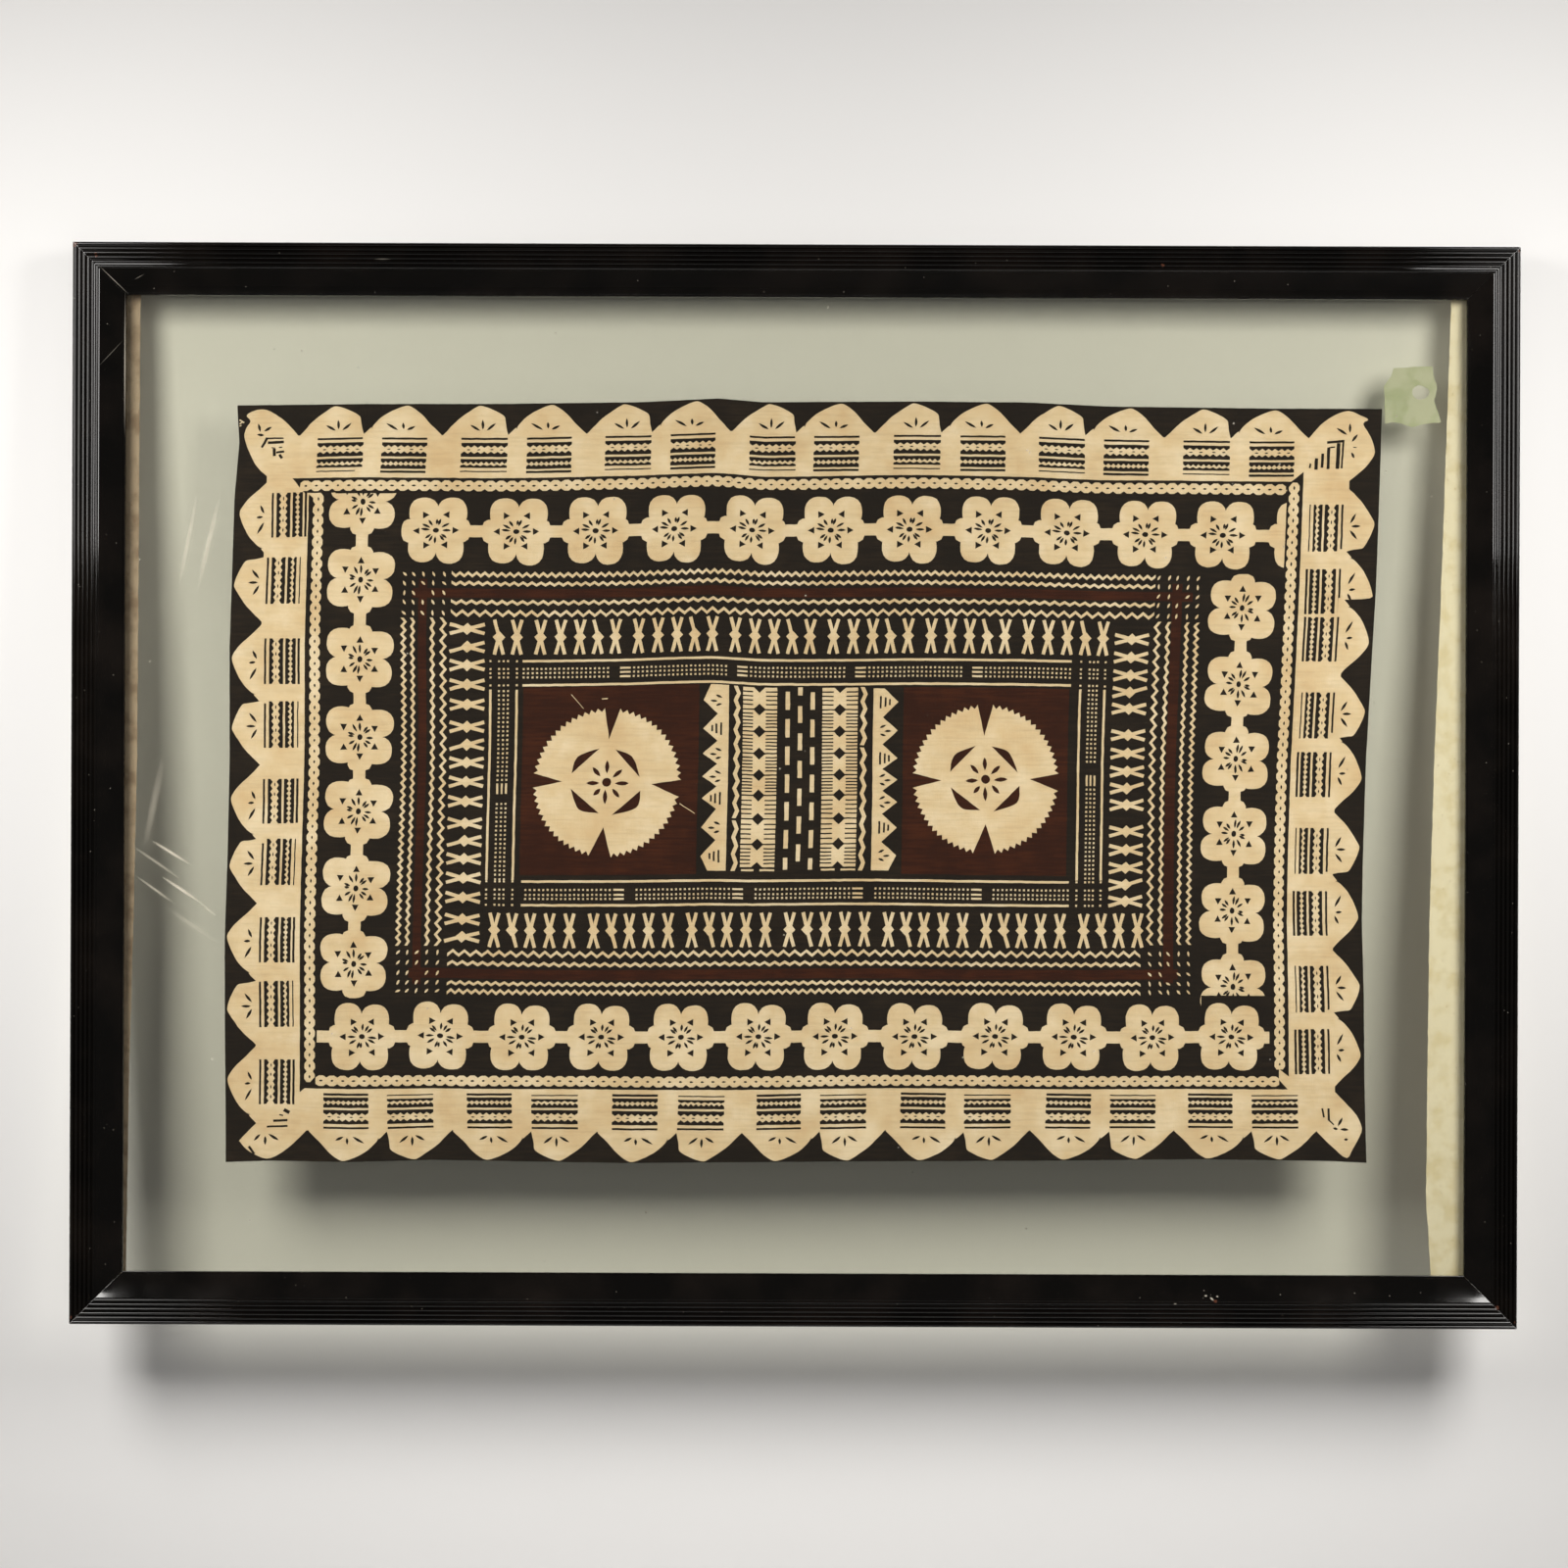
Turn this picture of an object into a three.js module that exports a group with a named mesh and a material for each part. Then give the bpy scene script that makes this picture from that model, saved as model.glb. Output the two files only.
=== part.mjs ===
// Hand-stencilled bark cloth held between two clear panes in a black reeded wood frame.
// Millimetres, +Z up, +X to the right of someone facing the front, which looks along -Y.
// The origin is the middle of the top rail's back face, where a hanging plate would go.
import * as THREE from 'three';

// Driving dimensions of the frame.
const FRAME_WIDTH = 1200;
const FRAME_HEIGHT = 897;
const FRAME_DEPTH = 26;
const RAIL_WIDTH = 43.5;
const MITRE_GAP = 0.3;

// The moulding's section, read from its outer edge inwards.
const OUTER_WALL_DEPTH = 21;
const REED_COUNT = 6;
const REED_PITCH = 3.7;
const REED_SIDES = 6;
const REED_RELIEF = 1.3;
const REED_CREST_DROP = 1.6;
const FACE_OUTER_DEPTH = 24.8;
const FACE_INNER_DEPTH = 19.2;
const LIP_WIDTH = 1.6;
const LIP_DEPTH = 18.6;
const REBATE_WIDTH = 7;
const SHOULDER_DEPTH = 14.3;

// What lies in the rebate, from the front pane to the paper at the back.
const PIECE_GAP = 0.3;
const GLASS_THICKNESS = 2;
const GLASS_CLEARANCE = 0.3;
const CLOTH_THICKNESS = 1.2;
const PAPER_THICKNESS = 1;

const BACK_FACE_WIDTH = RAIL_WIDTH - REBATE_WIDTH;
const FRAME_TOP = BACK_FACE_WIDTH / 2;
const FRAME_CENTRE = FRAME_TOP - FRAME_HEIGHT / 2;
const SIGHT_HALF_WIDTH = FRAME_WIDTH / 2 - RAIL_WIDTH;
const PANE_WIDTH = FRAME_WIDTH - 2 * (BACK_FACE_WIDTH + GLASS_CLEARANCE);
const PANE_HEIGHT = FRAME_HEIGHT - 2 * (BACK_FACE_WIDTH + GLASS_CLEARANCE);

// Back faces of the stacked pieces, as heights above the plane of the frame's back.
const FRONT_PANE_BACK = SHOULDER_DEPTH - PIECE_GAP - GLASS_THICKNESS;
const CLOTH_BACK = FRONT_PANE_BACK - PIECE_GAP - CLOTH_THICKNESS;
const REAR_PANE_BACK = CLOTH_BACK - PIECE_GAP - GLASS_THICKNESS;
const PAPER_BACK = REAR_PANE_BACK - PIECE_GAP - PAPER_THICKNESS;

// Corners of the cloth from the frame's centre: it hangs a little out of square.
const CLOTH_CORNERS = {
  topLeft: new THREE.Vector2(-465.5, 317),
  topRight: new THREE.Vector2(488, 316.5),
  bottomRight: new THREE.Vector2(477.5, -313),
  bottomLeft: new THREE.Vector2(-473, -315),
};

// How far each edge of the cloth bows out of the line between its corners.
const TOP_BOW = [
  { along: 0.11, out: 1.5 }, { along: 0.23, out: 2 }, { along: 0.35, out: 3.7 }, { along: 0.42, out: 7 },
  { along: 0.46, out: 4 }, { along: 0.59, out: 5 }, { along: 0.69, out: 4.5 }, { along: 0.76, out: 1.4 },
  { along: 0.9, out: 0 },
];
const RIGHT_BOW = [
  { along: 0.12, out: -0.8 }, { along: 0.24, out: -2 }, { along: 0.35, out: -4.7 }, { along: 0.47, out: -7.4 },
  { along: 0.6, out: -8.2 }, { along: 0.68, out: -8 }, { along: 0.78, out: -5 }, { along: 0.9, out: -2.9 },
];
const BOTTOM_BOW = [
  { along: 0.03, out: -1.5 }, { along: 0.15, out: -3 }, { along: 0.28, out: -1.6 }, { along: 0.44, out: -1 },
  { along: 0.65, out: 0.6 }, { along: 0.82, out: -2 }, { along: 0.89, out: 0 }, { along: 0.96, out: -1.2 },
];
const LEFT_BOW = [
  { along: 0.06, out: 0.6 }, { along: 0.18, out: 2.5 }, { along: 0.29, out: 3.7 }, { along: 0.41, out: 2.4 },
  { along: 0.53, out: 1.9 }, { along: 0.68, out: 3.4 }, { along: 0.76, out: 2.5 }, { along: 0.88, out: 1.2 },
  { along: 0.95, out: -2.1 },
];

// Old paper strips down both sides of the rear pane: how far each shows past the rail's inner edge.
const LEFT_STRIP_SHOWS = [
  { height: 405, shows: 10.6 }, { height: 150, shows: 9.6 }, { height: 19, shows: 9 },
  { height: -112, shows: 6.5 }, { height: -243, shows: 3.3 }, { height: -405, shows: 1.2 },
];
const RIGHT_STRIP_SHOWS = [
  { height: 405, shows: 11.5 }, { height: 330, shows: 13.9 }, { height: 281, shows: 15.5 },
  { height: 150, shows: 21.3 }, { height: 19, shows: 26.2 }, { height: -112, shows: 30.3 },
  { height: -243, shows: 32.3 }, { height: -341, shows: 33.5 }, { height: -405, shows: 29.5 },
];
const STRIP_END_MARGIN = 2;
const STRIP_SIDE_MARGIN = 1;

// A torn scrap of green paper beside the cloth's upper right corner, from the frame's centre.
const SCRAP_OUTLINE = [
  { x: 497, z: 349 }, { x: 529, z: 351 }, { x: 530, z: 342 }, { x: 534, z: 333 }, { x: 531, z: 322 },
  { x: 537, z: 304 }, { x: 524, z: 303 }, { x: 513, z: 300 }, { x: 501, z: 304 }, { x: 490, z: 303 },
  { x: 489, z: 334 }, { x: 495, z: 342 },
];
const SCRAP_HOLE = { x: 519.5, z: 329, halfWidth: 7, halfHeight: 5.5, sides: 10 };

// Finishes.
const blackLacquer = { color: 0x14100d, roughness: 0.28, metalness: 0 };
const clearGlass = { color: 0xe4ebdc, roughness: 0.05, metalness: 0, transparent: true, opacity: 0.3 };
const barkCloth = { color: 0xe6cc98, roughness: 0.85, metalness: 0 };
const creamPaper = { color: 0xcfc0a0, roughness: 0.8, metalness: 0 };
const greenPaper = { color: 0xa8b296, roughness: 0.8, metalness: 0 };

function namedMesh(name, geometry, finish) {
  const mesh = new THREE.Mesh(geometry, new THREE.MeshStandardMaterial(finish));
  mesh.name = name;
  return mesh;
}

// The moulding's section: x is the distance in from the outer edge, y the height above the back.
function mouldingSection() {
  const section = new THREE.Shape();
  section.moveTo(0, 0);
  section.lineTo(0, OUTER_WALL_DEPTH);
  for (let reed = 0; reed < REED_COUNT; reed += 1) {
    const turned = 1 - reed / (REED_COUNT - 1);
    const crest = FRAME_DEPTH - REED_CREST_DROP * turned * turned;
    for (let side = 0; side <= REED_SIDES; side += 1) {
      const across = side / REED_SIDES;
      const rise = Math.sin(Math.PI * across);
      section.lineTo(REED_PITCH * (reed + 0.05 + 0.9 * across), crest - REED_RELIEF * (1 - rise));
    }
  }
  section.lineTo(REED_PITCH * REED_COUNT + 0.3, FACE_OUTER_DEPTH);
  section.lineTo(RAIL_WIDTH - LIP_WIDTH - 0.4, FACE_INNER_DEPTH);
  section.lineTo(RAIL_WIDTH - LIP_WIDTH, LIP_DEPTH);
  section.lineTo(RAIL_WIDTH - 0.4, LIP_DEPTH);
  section.lineTo(RAIL_WIDTH, LIP_DEPTH - 0.5);
  section.lineTo(RAIL_WIDTH, SHOULDER_DEPTH);
  section.lineTo(BACK_FACE_WIDTH, SHOULDER_DEPTH);
  section.lineTo(BACK_FACE_WIDTH, 0);
  section.closePath();
  return section;
}

// A rail lies along X with its outer edge on the line z = 0 and its section below it; the ends are
// drawn in with the distance from the outer edge, which makes the mitres.
function railGeometry(length) {
  const rail = new THREE.ExtrudeGeometry(mouldingSection(), { depth: 1, steps: 1, bevelEnabled: false });
  const place = rail.attributes.position;
  for (let i = 0; i < place.count; i += 1) {
    const inward = place.getX(i);
    const height = place.getY(i);
    const halfLength = length / 2 - inward - MITRE_GAP / 2;
    const along = (1 - 2 * place.getZ(i)) * halfLength;
    place.setXYZ(i, along, -height, -inward);
  }
  rail.computeVertexNormals();
  return rail;
}

function rail(name, length, turn, x, z) {
  const mesh = namedMesh(name, railGeometry(length), blackLacquer);
  mesh.rotation.y = turn;
  mesh.position.set(x, 0, z);
  return mesh;
}

// A flat sheet standing upright: the shape is drawn in X and Z, back is the height of its rear face.
function uprightSheet(shape, thickness, back) {
  const sheet = new THREE.ExtrudeGeometry(shape, { depth: thickness, steps: 1, bevelEnabled: false });
  sheet.rotateX(Math.PI / 2);
  sheet.translate(0, -back, 0);
  return sheet;
}

function pane(name, back) {
  const outline = new THREE.Shape();
  outline.moveTo(-PANE_WIDTH / 2, FRAME_CENTRE - PANE_HEIGHT / 2);
  outline.lineTo(PANE_WIDTH / 2, FRAME_CENTRE - PANE_HEIGHT / 2);
  outline.lineTo(PANE_WIDTH / 2, FRAME_CENTRE + PANE_HEIGHT / 2);
  outline.lineTo(-PANE_WIDTH / 2, FRAME_CENTRE + PANE_HEIGHT / 2);
  outline.closePath();
  return namedMesh(name, uprightSheet(outline, GLASS_THICKNESS, back), clearGlass);
}

// The points of one bowed edge, from its first corner up to but not including the next.
function bowedEdge(from, to, bow) {
  const edge = to.clone().sub(from);
  const outward = new THREE.Vector2(-edge.y, edge.x).normalize();
  const points = bow.map(({ along, out }) => {
    return from.clone().addScaledVector(edge, along).addScaledVector(outward, out);
  });
  return [from, ...points];
}

function clothOutline() {
  const { topLeft, topRight, bottomRight, bottomLeft } = CLOTH_CORNERS;
  const clockwise = [
    ...bowedEdge(topLeft, topRight, TOP_BOW),
    ...bowedEdge(topRight, bottomRight, RIGHT_BOW),
    ...bowedEdge(bottomRight, bottomLeft, BOTTOM_BOW),
    ...bowedEdge(bottomLeft, topLeft, LEFT_BOW),
  ];
  return new THREE.Shape(clockwise.map((point) => new THREE.Vector2(point.x, point.y + FRAME_CENTRE)));
}

function cloth() {
  return namedMesh('bark_cloth', uprightSheet(clothOutline(), CLOTH_THICKNESS, CLOTH_BACK), barkCloth);
}

// A strip down one side: side is -1 for the left and 1 for the right.
function paperStrip(name, shows, side) {
  const outer = side * (PANE_WIDTH / 2 - STRIP_SIDE_MARGIN);
  const top = FRAME_CENTRE + PANE_HEIGHT / 2 - STRIP_END_MARGIN;
  const bottom = FRAME_CENTRE - PANE_HEIGHT / 2 + STRIP_END_MARGIN;
  const outline = new THREE.Shape();
  outline.moveTo(outer, bottom);
  outline.lineTo(outer, top);
  outline.lineTo(side * (SIGHT_HALF_WIDTH - shows[0].shows), top);
  for (const row of shows) {
    outline.lineTo(side * (SIGHT_HALF_WIDTH - row.shows), FRAME_CENTRE + row.height);
  }
  outline.lineTo(side * (SIGHT_HALF_WIDTH - shows[shows.length - 1].shows), bottom);
  outline.closePath();
  return namedMesh(name, uprightSheet(outline, PAPER_THICKNESS, PAPER_BACK), creamPaper);
}

function paperScrap() {
  const outline = new THREE.Shape(
    SCRAP_OUTLINE.map((point) => new THREE.Vector2(point.x, point.z + FRAME_CENTRE)),
  );
  const hole = new THREE.Path();
  const { x, z, halfWidth, halfHeight, sides } = SCRAP_HOLE;
  for (let side = 0; side < sides; side += 1) {
    const angle = (2 * Math.PI * side) / sides;
    const holeX = x + halfWidth * Math.cos(angle);
    const holeZ = FRAME_CENTRE + z + halfHeight * Math.sin(angle);
    if (side === 0) {
      hole.moveTo(holeX, holeZ);
    } else {
      hole.lineTo(holeX, holeZ);
    }
  }
  hole.closePath();
  outline.holes.push(hole);
  return namedMesh('paper_scrap', uprightSheet(outline, PAPER_THICKNESS, PAPER_BACK), greenPaper);
}

const frame = new THREE.Group();
frame.add(
  rail('rail_top', FRAME_WIDTH, 0, 0, FRAME_TOP),
  rail('rail_right', FRAME_HEIGHT, Math.PI / 2, FRAME_WIDTH / 2, FRAME_CENTRE),
  rail('rail_bottom', FRAME_WIDTH, Math.PI, 0, FRAME_TOP - FRAME_HEIGHT),
  rail('rail_left', FRAME_HEIGHT, -Math.PI / 2, -FRAME_WIDTH / 2, FRAME_CENTRE),
);
const framedCloth = new THREE.Group();
framedCloth.add(
  frame,
  pane('front_glass', FRONT_PANE_BACK),
  cloth(),
  pane('rear_glass', REAR_PANE_BACK),
  paperStrip('paper_strip_left', LEFT_STRIP_SHOWS, -1),
  paperStrip('paper_strip_right', RIGHT_STRIP_SHOWS, 1),
  paperScrap(),
);

export default framedCloth;
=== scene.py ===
# Hand-stencilled bark cloth held between two clear panes in a black reeded wood frame.
# Laid out as an add-on and run as a script. Sizes in the chart are millimetres, the scene is in metres.
import math

import bmesh
import bpy
from bpy.props import FloatProperty, FloatVectorProperty, PointerProperty
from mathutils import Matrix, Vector, geometry, noise


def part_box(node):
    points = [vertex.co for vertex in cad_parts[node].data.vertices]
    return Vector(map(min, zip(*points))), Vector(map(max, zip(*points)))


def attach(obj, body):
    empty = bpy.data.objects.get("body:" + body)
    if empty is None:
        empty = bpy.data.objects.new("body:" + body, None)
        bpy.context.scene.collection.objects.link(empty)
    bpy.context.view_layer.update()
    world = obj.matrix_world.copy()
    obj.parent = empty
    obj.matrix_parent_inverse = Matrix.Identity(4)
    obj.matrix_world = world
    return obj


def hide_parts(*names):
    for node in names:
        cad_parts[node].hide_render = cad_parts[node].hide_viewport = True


bl_info = {
    "name": "Framed bark cloth",
    "version": (1, 0, 0),
    "blender": (4, 5, 0),
    "location": "3D View > Sidebar > Bark cloth",
    "description": "Builds a stencilled bark cloth between panes in a reeded frame",
    "category": "Object",
}

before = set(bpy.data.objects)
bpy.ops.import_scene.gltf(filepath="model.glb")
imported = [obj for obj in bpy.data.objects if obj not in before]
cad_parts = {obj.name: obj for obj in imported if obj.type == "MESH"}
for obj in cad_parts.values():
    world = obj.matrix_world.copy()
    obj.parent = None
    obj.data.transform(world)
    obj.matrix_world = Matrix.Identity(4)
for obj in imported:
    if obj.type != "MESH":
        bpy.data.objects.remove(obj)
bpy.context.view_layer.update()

MM = 0.001
RAIL_TOP_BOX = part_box("rail_top")
RAIL_BOTTOM_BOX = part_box("rail_bottom")
CLOTH_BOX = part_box("bark_cloth")
PAPER_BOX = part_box("paper_strip_right")

# The frame, in millimetres from its own centre.
FRAME_WIDTH = (RAIL_TOP_BOX[1].x - RAIL_TOP_BOX[0].x) / MM
FRAME_TOP = RAIL_TOP_BOX[1].z / MM
FRAME_HEIGHT = FRAME_TOP - RAIL_BOTTOM_BOX[0].z / MM
FRAME_DEPTH = -RAIL_TOP_BOX[0].y / MM
FRAME_CENTRE = FRAME_TOP - FRAME_HEIGHT / 2
RAIL_WIDTH = FRAME_TOP - RAIL_TOP_BOX[0].z / MM
SIGHT_HALF_WIDTH = FRAME_WIDTH / 2 - RAIL_WIDTH

# The chart of the cloth's pattern: a rectangle that is later fitted to the cloth's uneven outline.
HALF_WIDTH = 476
HALF_HEIGHT = 315
CLOTH_CORNERS = {
    "top left": Vector((-464.5, 314.2)),
    "top right": Vector((487, 314.8)),
    "bottom right": Vector((476.3, -312)),
    "bottom left": Vector((-471.9, -314.7)),
}

# How far each edge bows out of the line between its corners, clockwise from the top left corner.
TOP_BOW = [(0, 0), (0.11, 1.5), (0.23, 2), (0.35, 3.7), (0.42, 7), (0.46, 4), (0.59, 5), (0.69, 4.5),
           (0.76, 1.4), (0.9, 0), (1, 0)]
RIGHT_BOW = [(0, 0), (0.12, -0.8), (0.24, -2), (0.35, -4.7), (0.47, -7.4), (0.6, -8.2), (0.68, -8),
             (0.78, -5), (0.9, -2.9), (1, 0)]
BOTTOM_BOW = [(0, 0), (0.03, -1.5), (0.15, -3), (0.28, -1.6), (0.44, -1), (0.65, 0.6), (0.82, -2),
              (0.89, 0), (0.96, -1.2), (1, 0)]
LEFT_BOW = [(0, 0), (0.06, 0.6), (0.18, 2.5), (0.29, 3.7), (0.41, 2.4), (0.53, 1.9), (0.68, 3.4),
            (0.76, 2.5), (0.88, 1.2), (0.95, -2.1), (1, 0)]

# The three surfaces of the cloth, as material slots.
BARK, BLACK, BROWN = range(3)

# The waver of cut and torn edges is drawn from this seed, and is the same in each run.
NOISE_SEED = 7


def linear(hex_colour):
    """The linear colour of an sRGB hex such as #ebd2a0, with an alpha of 1."""
    values = [int(hex_colour[i : i + 2], 16) / 255 for i in (1, 3, 5)]
    turned = [v / 12.92 if v <= 0.04045 else ((v + 0.055) / 1.055) ** 2.4 for v in values]
    return (*turned, 1.0)


def add_node(tree, kind, inputs=None, stops=None, **settings):
    """Adds a shader node: settings are its own, inputs get a value or a link, stops are a colour ramp's."""
    made = tree.nodes.new(f"ShaderNode{kind}")
    for name, value in settings.items():
        setattr(made, name, value)
    for key, value in (inputs or {}).items():
        if isinstance(value, bpy.types.NodeSocket):
            tree.links.new(value, made.inputs[key])
        else:
            made.inputs[key].default_value = value
    for index, (position, colour) in enumerate(stops or []):
        ramp = made.color_ramp.elements
        stop = ramp[index] if index < 2 else ramp.new(position)
        stop.position = position
        stop.color = colour
    return made


def new_material(name):
    """An empty material and its node tree."""
    material = bpy.data.materials.new(name)
    material.use_nodes = True
    material.node_tree.nodes.clear()
    return material, material.node_tree


def grey(value):
    """An opaque grey for a ramp that works as a mask."""
    return (value, value, value, 1.0)


def finish_mesh(name, bm, materials, sharp_angle=None):
    """Makes a piece of a bmesh: named, finished, shaded and riding on the body."""
    mesh = bpy.data.meshes.new(name)
    bm.to_mesh(mesh)
    bm.free()
    for material in materials:
        mesh.materials.append(material)
    mesh.shade_smooth()
    if sharp_angle is not None:
        mesh.set_sharp_from_angle(angle=math.radians(sharp_angle))
    piece = bpy.data.objects.new(name, mesh)
    bpy.context.scene.collection.objects.link(piece)
    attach(piece, "root")
    return piece


# Shapes of the stencils, each a list of points in millimetres.


def bar(x0, x1, y0, y1):
    """A plain rectangle."""
    return [(x0, y0), (x1, y0), (x1, y1), (x0, y1)]


def stroke(start, end, width):
    """A straight stroke of the brush between two points."""
    along = Vector(end) - Vector(start)
    across = Vector((-along.y, along.x)).normalized() * width / 2
    ends = [Vector(start) + across, Vector(end) + across, Vector(end) - across, Vector(start) - across]
    return [tuple(p) for p in ends]


def leaf(tip, end, width):
    """A slim leaf from one tip to the other."""
    along = Vector(end) - Vector(tip)
    across = Vector((-along.y, along.x)).normalized() * width
    swell = [(0.22, 0.32), (0.5, 0.5), (0.78, 0.36)]
    near = [Vector(tip) + along * t + across * w for t, w in swell]
    far = [Vector(tip) + along * t - across * w for t, w in reversed(swell)]
    return [tuple(p) for p in [Vector(tip), *near, Vector(end), *far]]


def disc(x, y, rx, ry, sides=12, squareness=2.0):
    """A round or squarish shape: squareness 2 is an ellipse."""
    points = []
    for side in range(sides):
        angle = 2 * math.pi * side / sides
        c, s = math.cos(angle), math.sin(angle)
        size = (abs(c) ** squareness + abs(s) ** squareness) ** (-1 / squareness)
        points.append((x + rx * c * size, y + ry * s * size))
    return points


def smooth_line(points, steps=3):
    """More points on a smooth curve through the given ones."""
    dense = []
    last = len(points) - 1
    for i in range(last):
        p0, p1, p2, p3 = (Vector(points[min(max(i + k, 0), last)]) for k in (-1, 0, 1, 2))
        for step in range(steps):
            t = step / steps
            bend = (p2 - p0) * t + (2 * p0 - 5 * p1 + 4 * p2 - p3) * t**2
            dense.append(tuple(p1 + 0.5 * (bend + (3 * p1 - p0 - 3 * p2 + p3) * t**3)))
    return [*dense, tuple(points[last])]


def toothed_bar(x0, x1, straight, base, tip, pitch):
    """A bar with one straight edge and one cut in teeth that reach from base to tip."""
    count = max(1, round((x1 - x0) / pitch))
    step = (x1 - x0) / count
    points = [(x0, straight), (x1, straight)]
    for tooth in reversed(range(count)):
        points.append((x0 + (tooth + 1) * step, base))
        points.append((x0 + (tooth + 0.5) * step, tip))
    return [*points, (x0, base)]


def zigzag(x0, x1, y, pitch, rise, thick):
    """A stroke that runs to and fro across y."""
    turns = 2 * max(1, round((x1 - x0) / pitch))
    step = (x1 - x0) / turns
    ridge = [(x0 + i * step, y + (rise / 2 if i % 2 else -rise / 2)) for i in range(turns + 1)]
    upper = [(px, py - thick / 2) for px, py in ridge]
    lower = [(px, py + thick / 2) for px, py in reversed(ridge)]
    return upper + lower


def bead_string(x0, x1, y, pitch, waist, belly):
    """A band that swells at every bead and is drawn in between them."""
    count = max(1, round((x1 - x0) / pitch))
    step = (x1 - x0) / count
    profile = [(0, waist), (0.3, belly), (0.7, belly)]
    edge = [(x0 + (bead + t) * step, half) for bead in range(count) for t, half in profile]
    edge.append((x1, waist))
    return [(px, y - half) for px, half in edge] + [(px, y + half) for px, half in reversed(edge)]


def anticlockwise(outline):
    """The same outline, run anticlockwise."""
    area = sum(a.cross(b) for a, b in zip(outline, outline[1:] + outline[:1]))
    return outline if area > 0 else outline[::-1]


# Places in the chart. A place turns a point of a stencil into a point of the chart.

SIDES = {
    "top": lambda s, d: (s, HALF_HEIGHT - d),
    "right": lambda s, d: (HALF_WIDTH - d, -s),
    "bottom": lambda s, d: (-s, d - HALF_HEIGHT),
    "left": lambda s, d: (d - HALF_WIDTH, s),
}


def at(place, x0, y0, turn=0.0, flip=1.0):
    """A place whose origin stands at a point of another one, turned by some degrees."""
    c, s = math.cos(math.radians(turn)), math.sin(math.radians(turn))

    def moved(x, y):
        return place(x0 + c * x * flip - s * y, y0 + s * x * flip + c * y)

    return moved


def corner_place(across, up):
    """A place whose two distances run in from the upright edge and from the level edge of a corner."""
    return lambda x, y: (across * (HALF_WIDTH - x), up * (HALF_HEIGHT - y))


def chart_place(u, v):
    """The chart itself."""
    return (u, v)


class Chart:
    """Flat stencilled shapes, each lying over those laid before it."""

    LONGEST_EDGE = 4.5

    def __init__(self):
        self.shapes = []

    def lay(self, points, surface, place=chart_place):
        """Lays a shape, with its long edges divided so that they can waver."""
        placed = [Vector(place(x, y)) for x, y in points]
        outline = []
        for here, there in zip(placed, placed[1:] + placed[:1]):
            parts = max(1, math.ceil((there - here).length / self.LONGEST_EDGE))
            outline += [here.lerp(there, part / parts) for part in range(parts)]
        self.shapes.append((anticlockwise(outline), surface))


# The scalloped border. A stencil of two lobes is repeated along each side: each outline starts from the
# lobe's peak, x along the side and y inwards.
LOBE_PEAK_DEPTHS = {"top": 1.6, "right": 3.4, "bottom": 0.9, "left": 2}
LOBE_BASE_DEPTH = 28
RING_DEPTH = 25.5
LOBES = {
    "plain": {
        "outline": [(-32.9, 24.9), (-28.5, 20.7), (-19.1, 11.3), (-9.7, 4.7), (-3.4, 0.8), (0, 0), (6, 1.6),
                    (13, 4.7), (19.2, 8.6), (20.2, 13), (20.8, 17.5), (22.4, 24.6)],
        "sprig": [((1.2, 11.3), (1.2, 19.4)), ((-9.4, 15.5), (-1.1, 20.4)), ((12.2, 14.1), (4.4, 20.2))],
        "bars": (-16.8, 21.9, "light"),
    },
    "nicked": {
        "outline": [(-36, 24.3), (-29, 18), (-28.3, 19.3), (-26.6, 15.6), (-19.6, 8.9), (-10.1, 3.6), (0, 0),
                    (5.5, 1.2), (13.3, 7), (21.1, 15.6), (29.5, 23.7)],
        "sprig": [((-16.4, 14.4), (-6.5, 20)), ((-2.4, 13.7), (-1.9, 19.1)), ((7.9, 16.8), (0.8, 20))],
        "bars": (-19.9, 17.7, "bold"),
    },
}
LOBES["cut"] = dict(LOBES["nicked"], outline=[*LOBES["nicked"]["outline"][:8], (6.2, 24.6)])
LEAF_WIDTH = 2.3

# From one lobe of a kind to the next.
LOBE_PAIR = 120.3


def lobe_pairs(plain, nicked):
    """Seven lobes of each kind at an even pitch, from where the first of each peaks."""
    starts = (("plain", plain), ("nicked", nicked))
    return [(kind, first + LOBE_PAIR * k) for kind, first in starts for k in range(7)]


# Where the lobes peak along each side, and how much deeper than the others one may lie.
SIDE_LOBES = {
    "top": lobe_pairs(-393.6, -336),
    "right": [("plain", -218.4), ("cut", -162.4), ("nicked", -121.4), ("plain", -61.2), ("nicked", -8.2),
              ("plain", 52.1), ("nicked", 108), ("plain", 168), ("nicked", 223.5)],
    "bottom": lobe_pairs(-402.8, -345),
    "left": [("nicked", -248), ("plain", -186.8), ("nicked", -128.7), ("plain", -67.6), ("nicked", -14),
             ("plain", 46.8), ("nicked", 103), ("plain", 165.9), ("nicked", 223.6, 2.8)],
}

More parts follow.
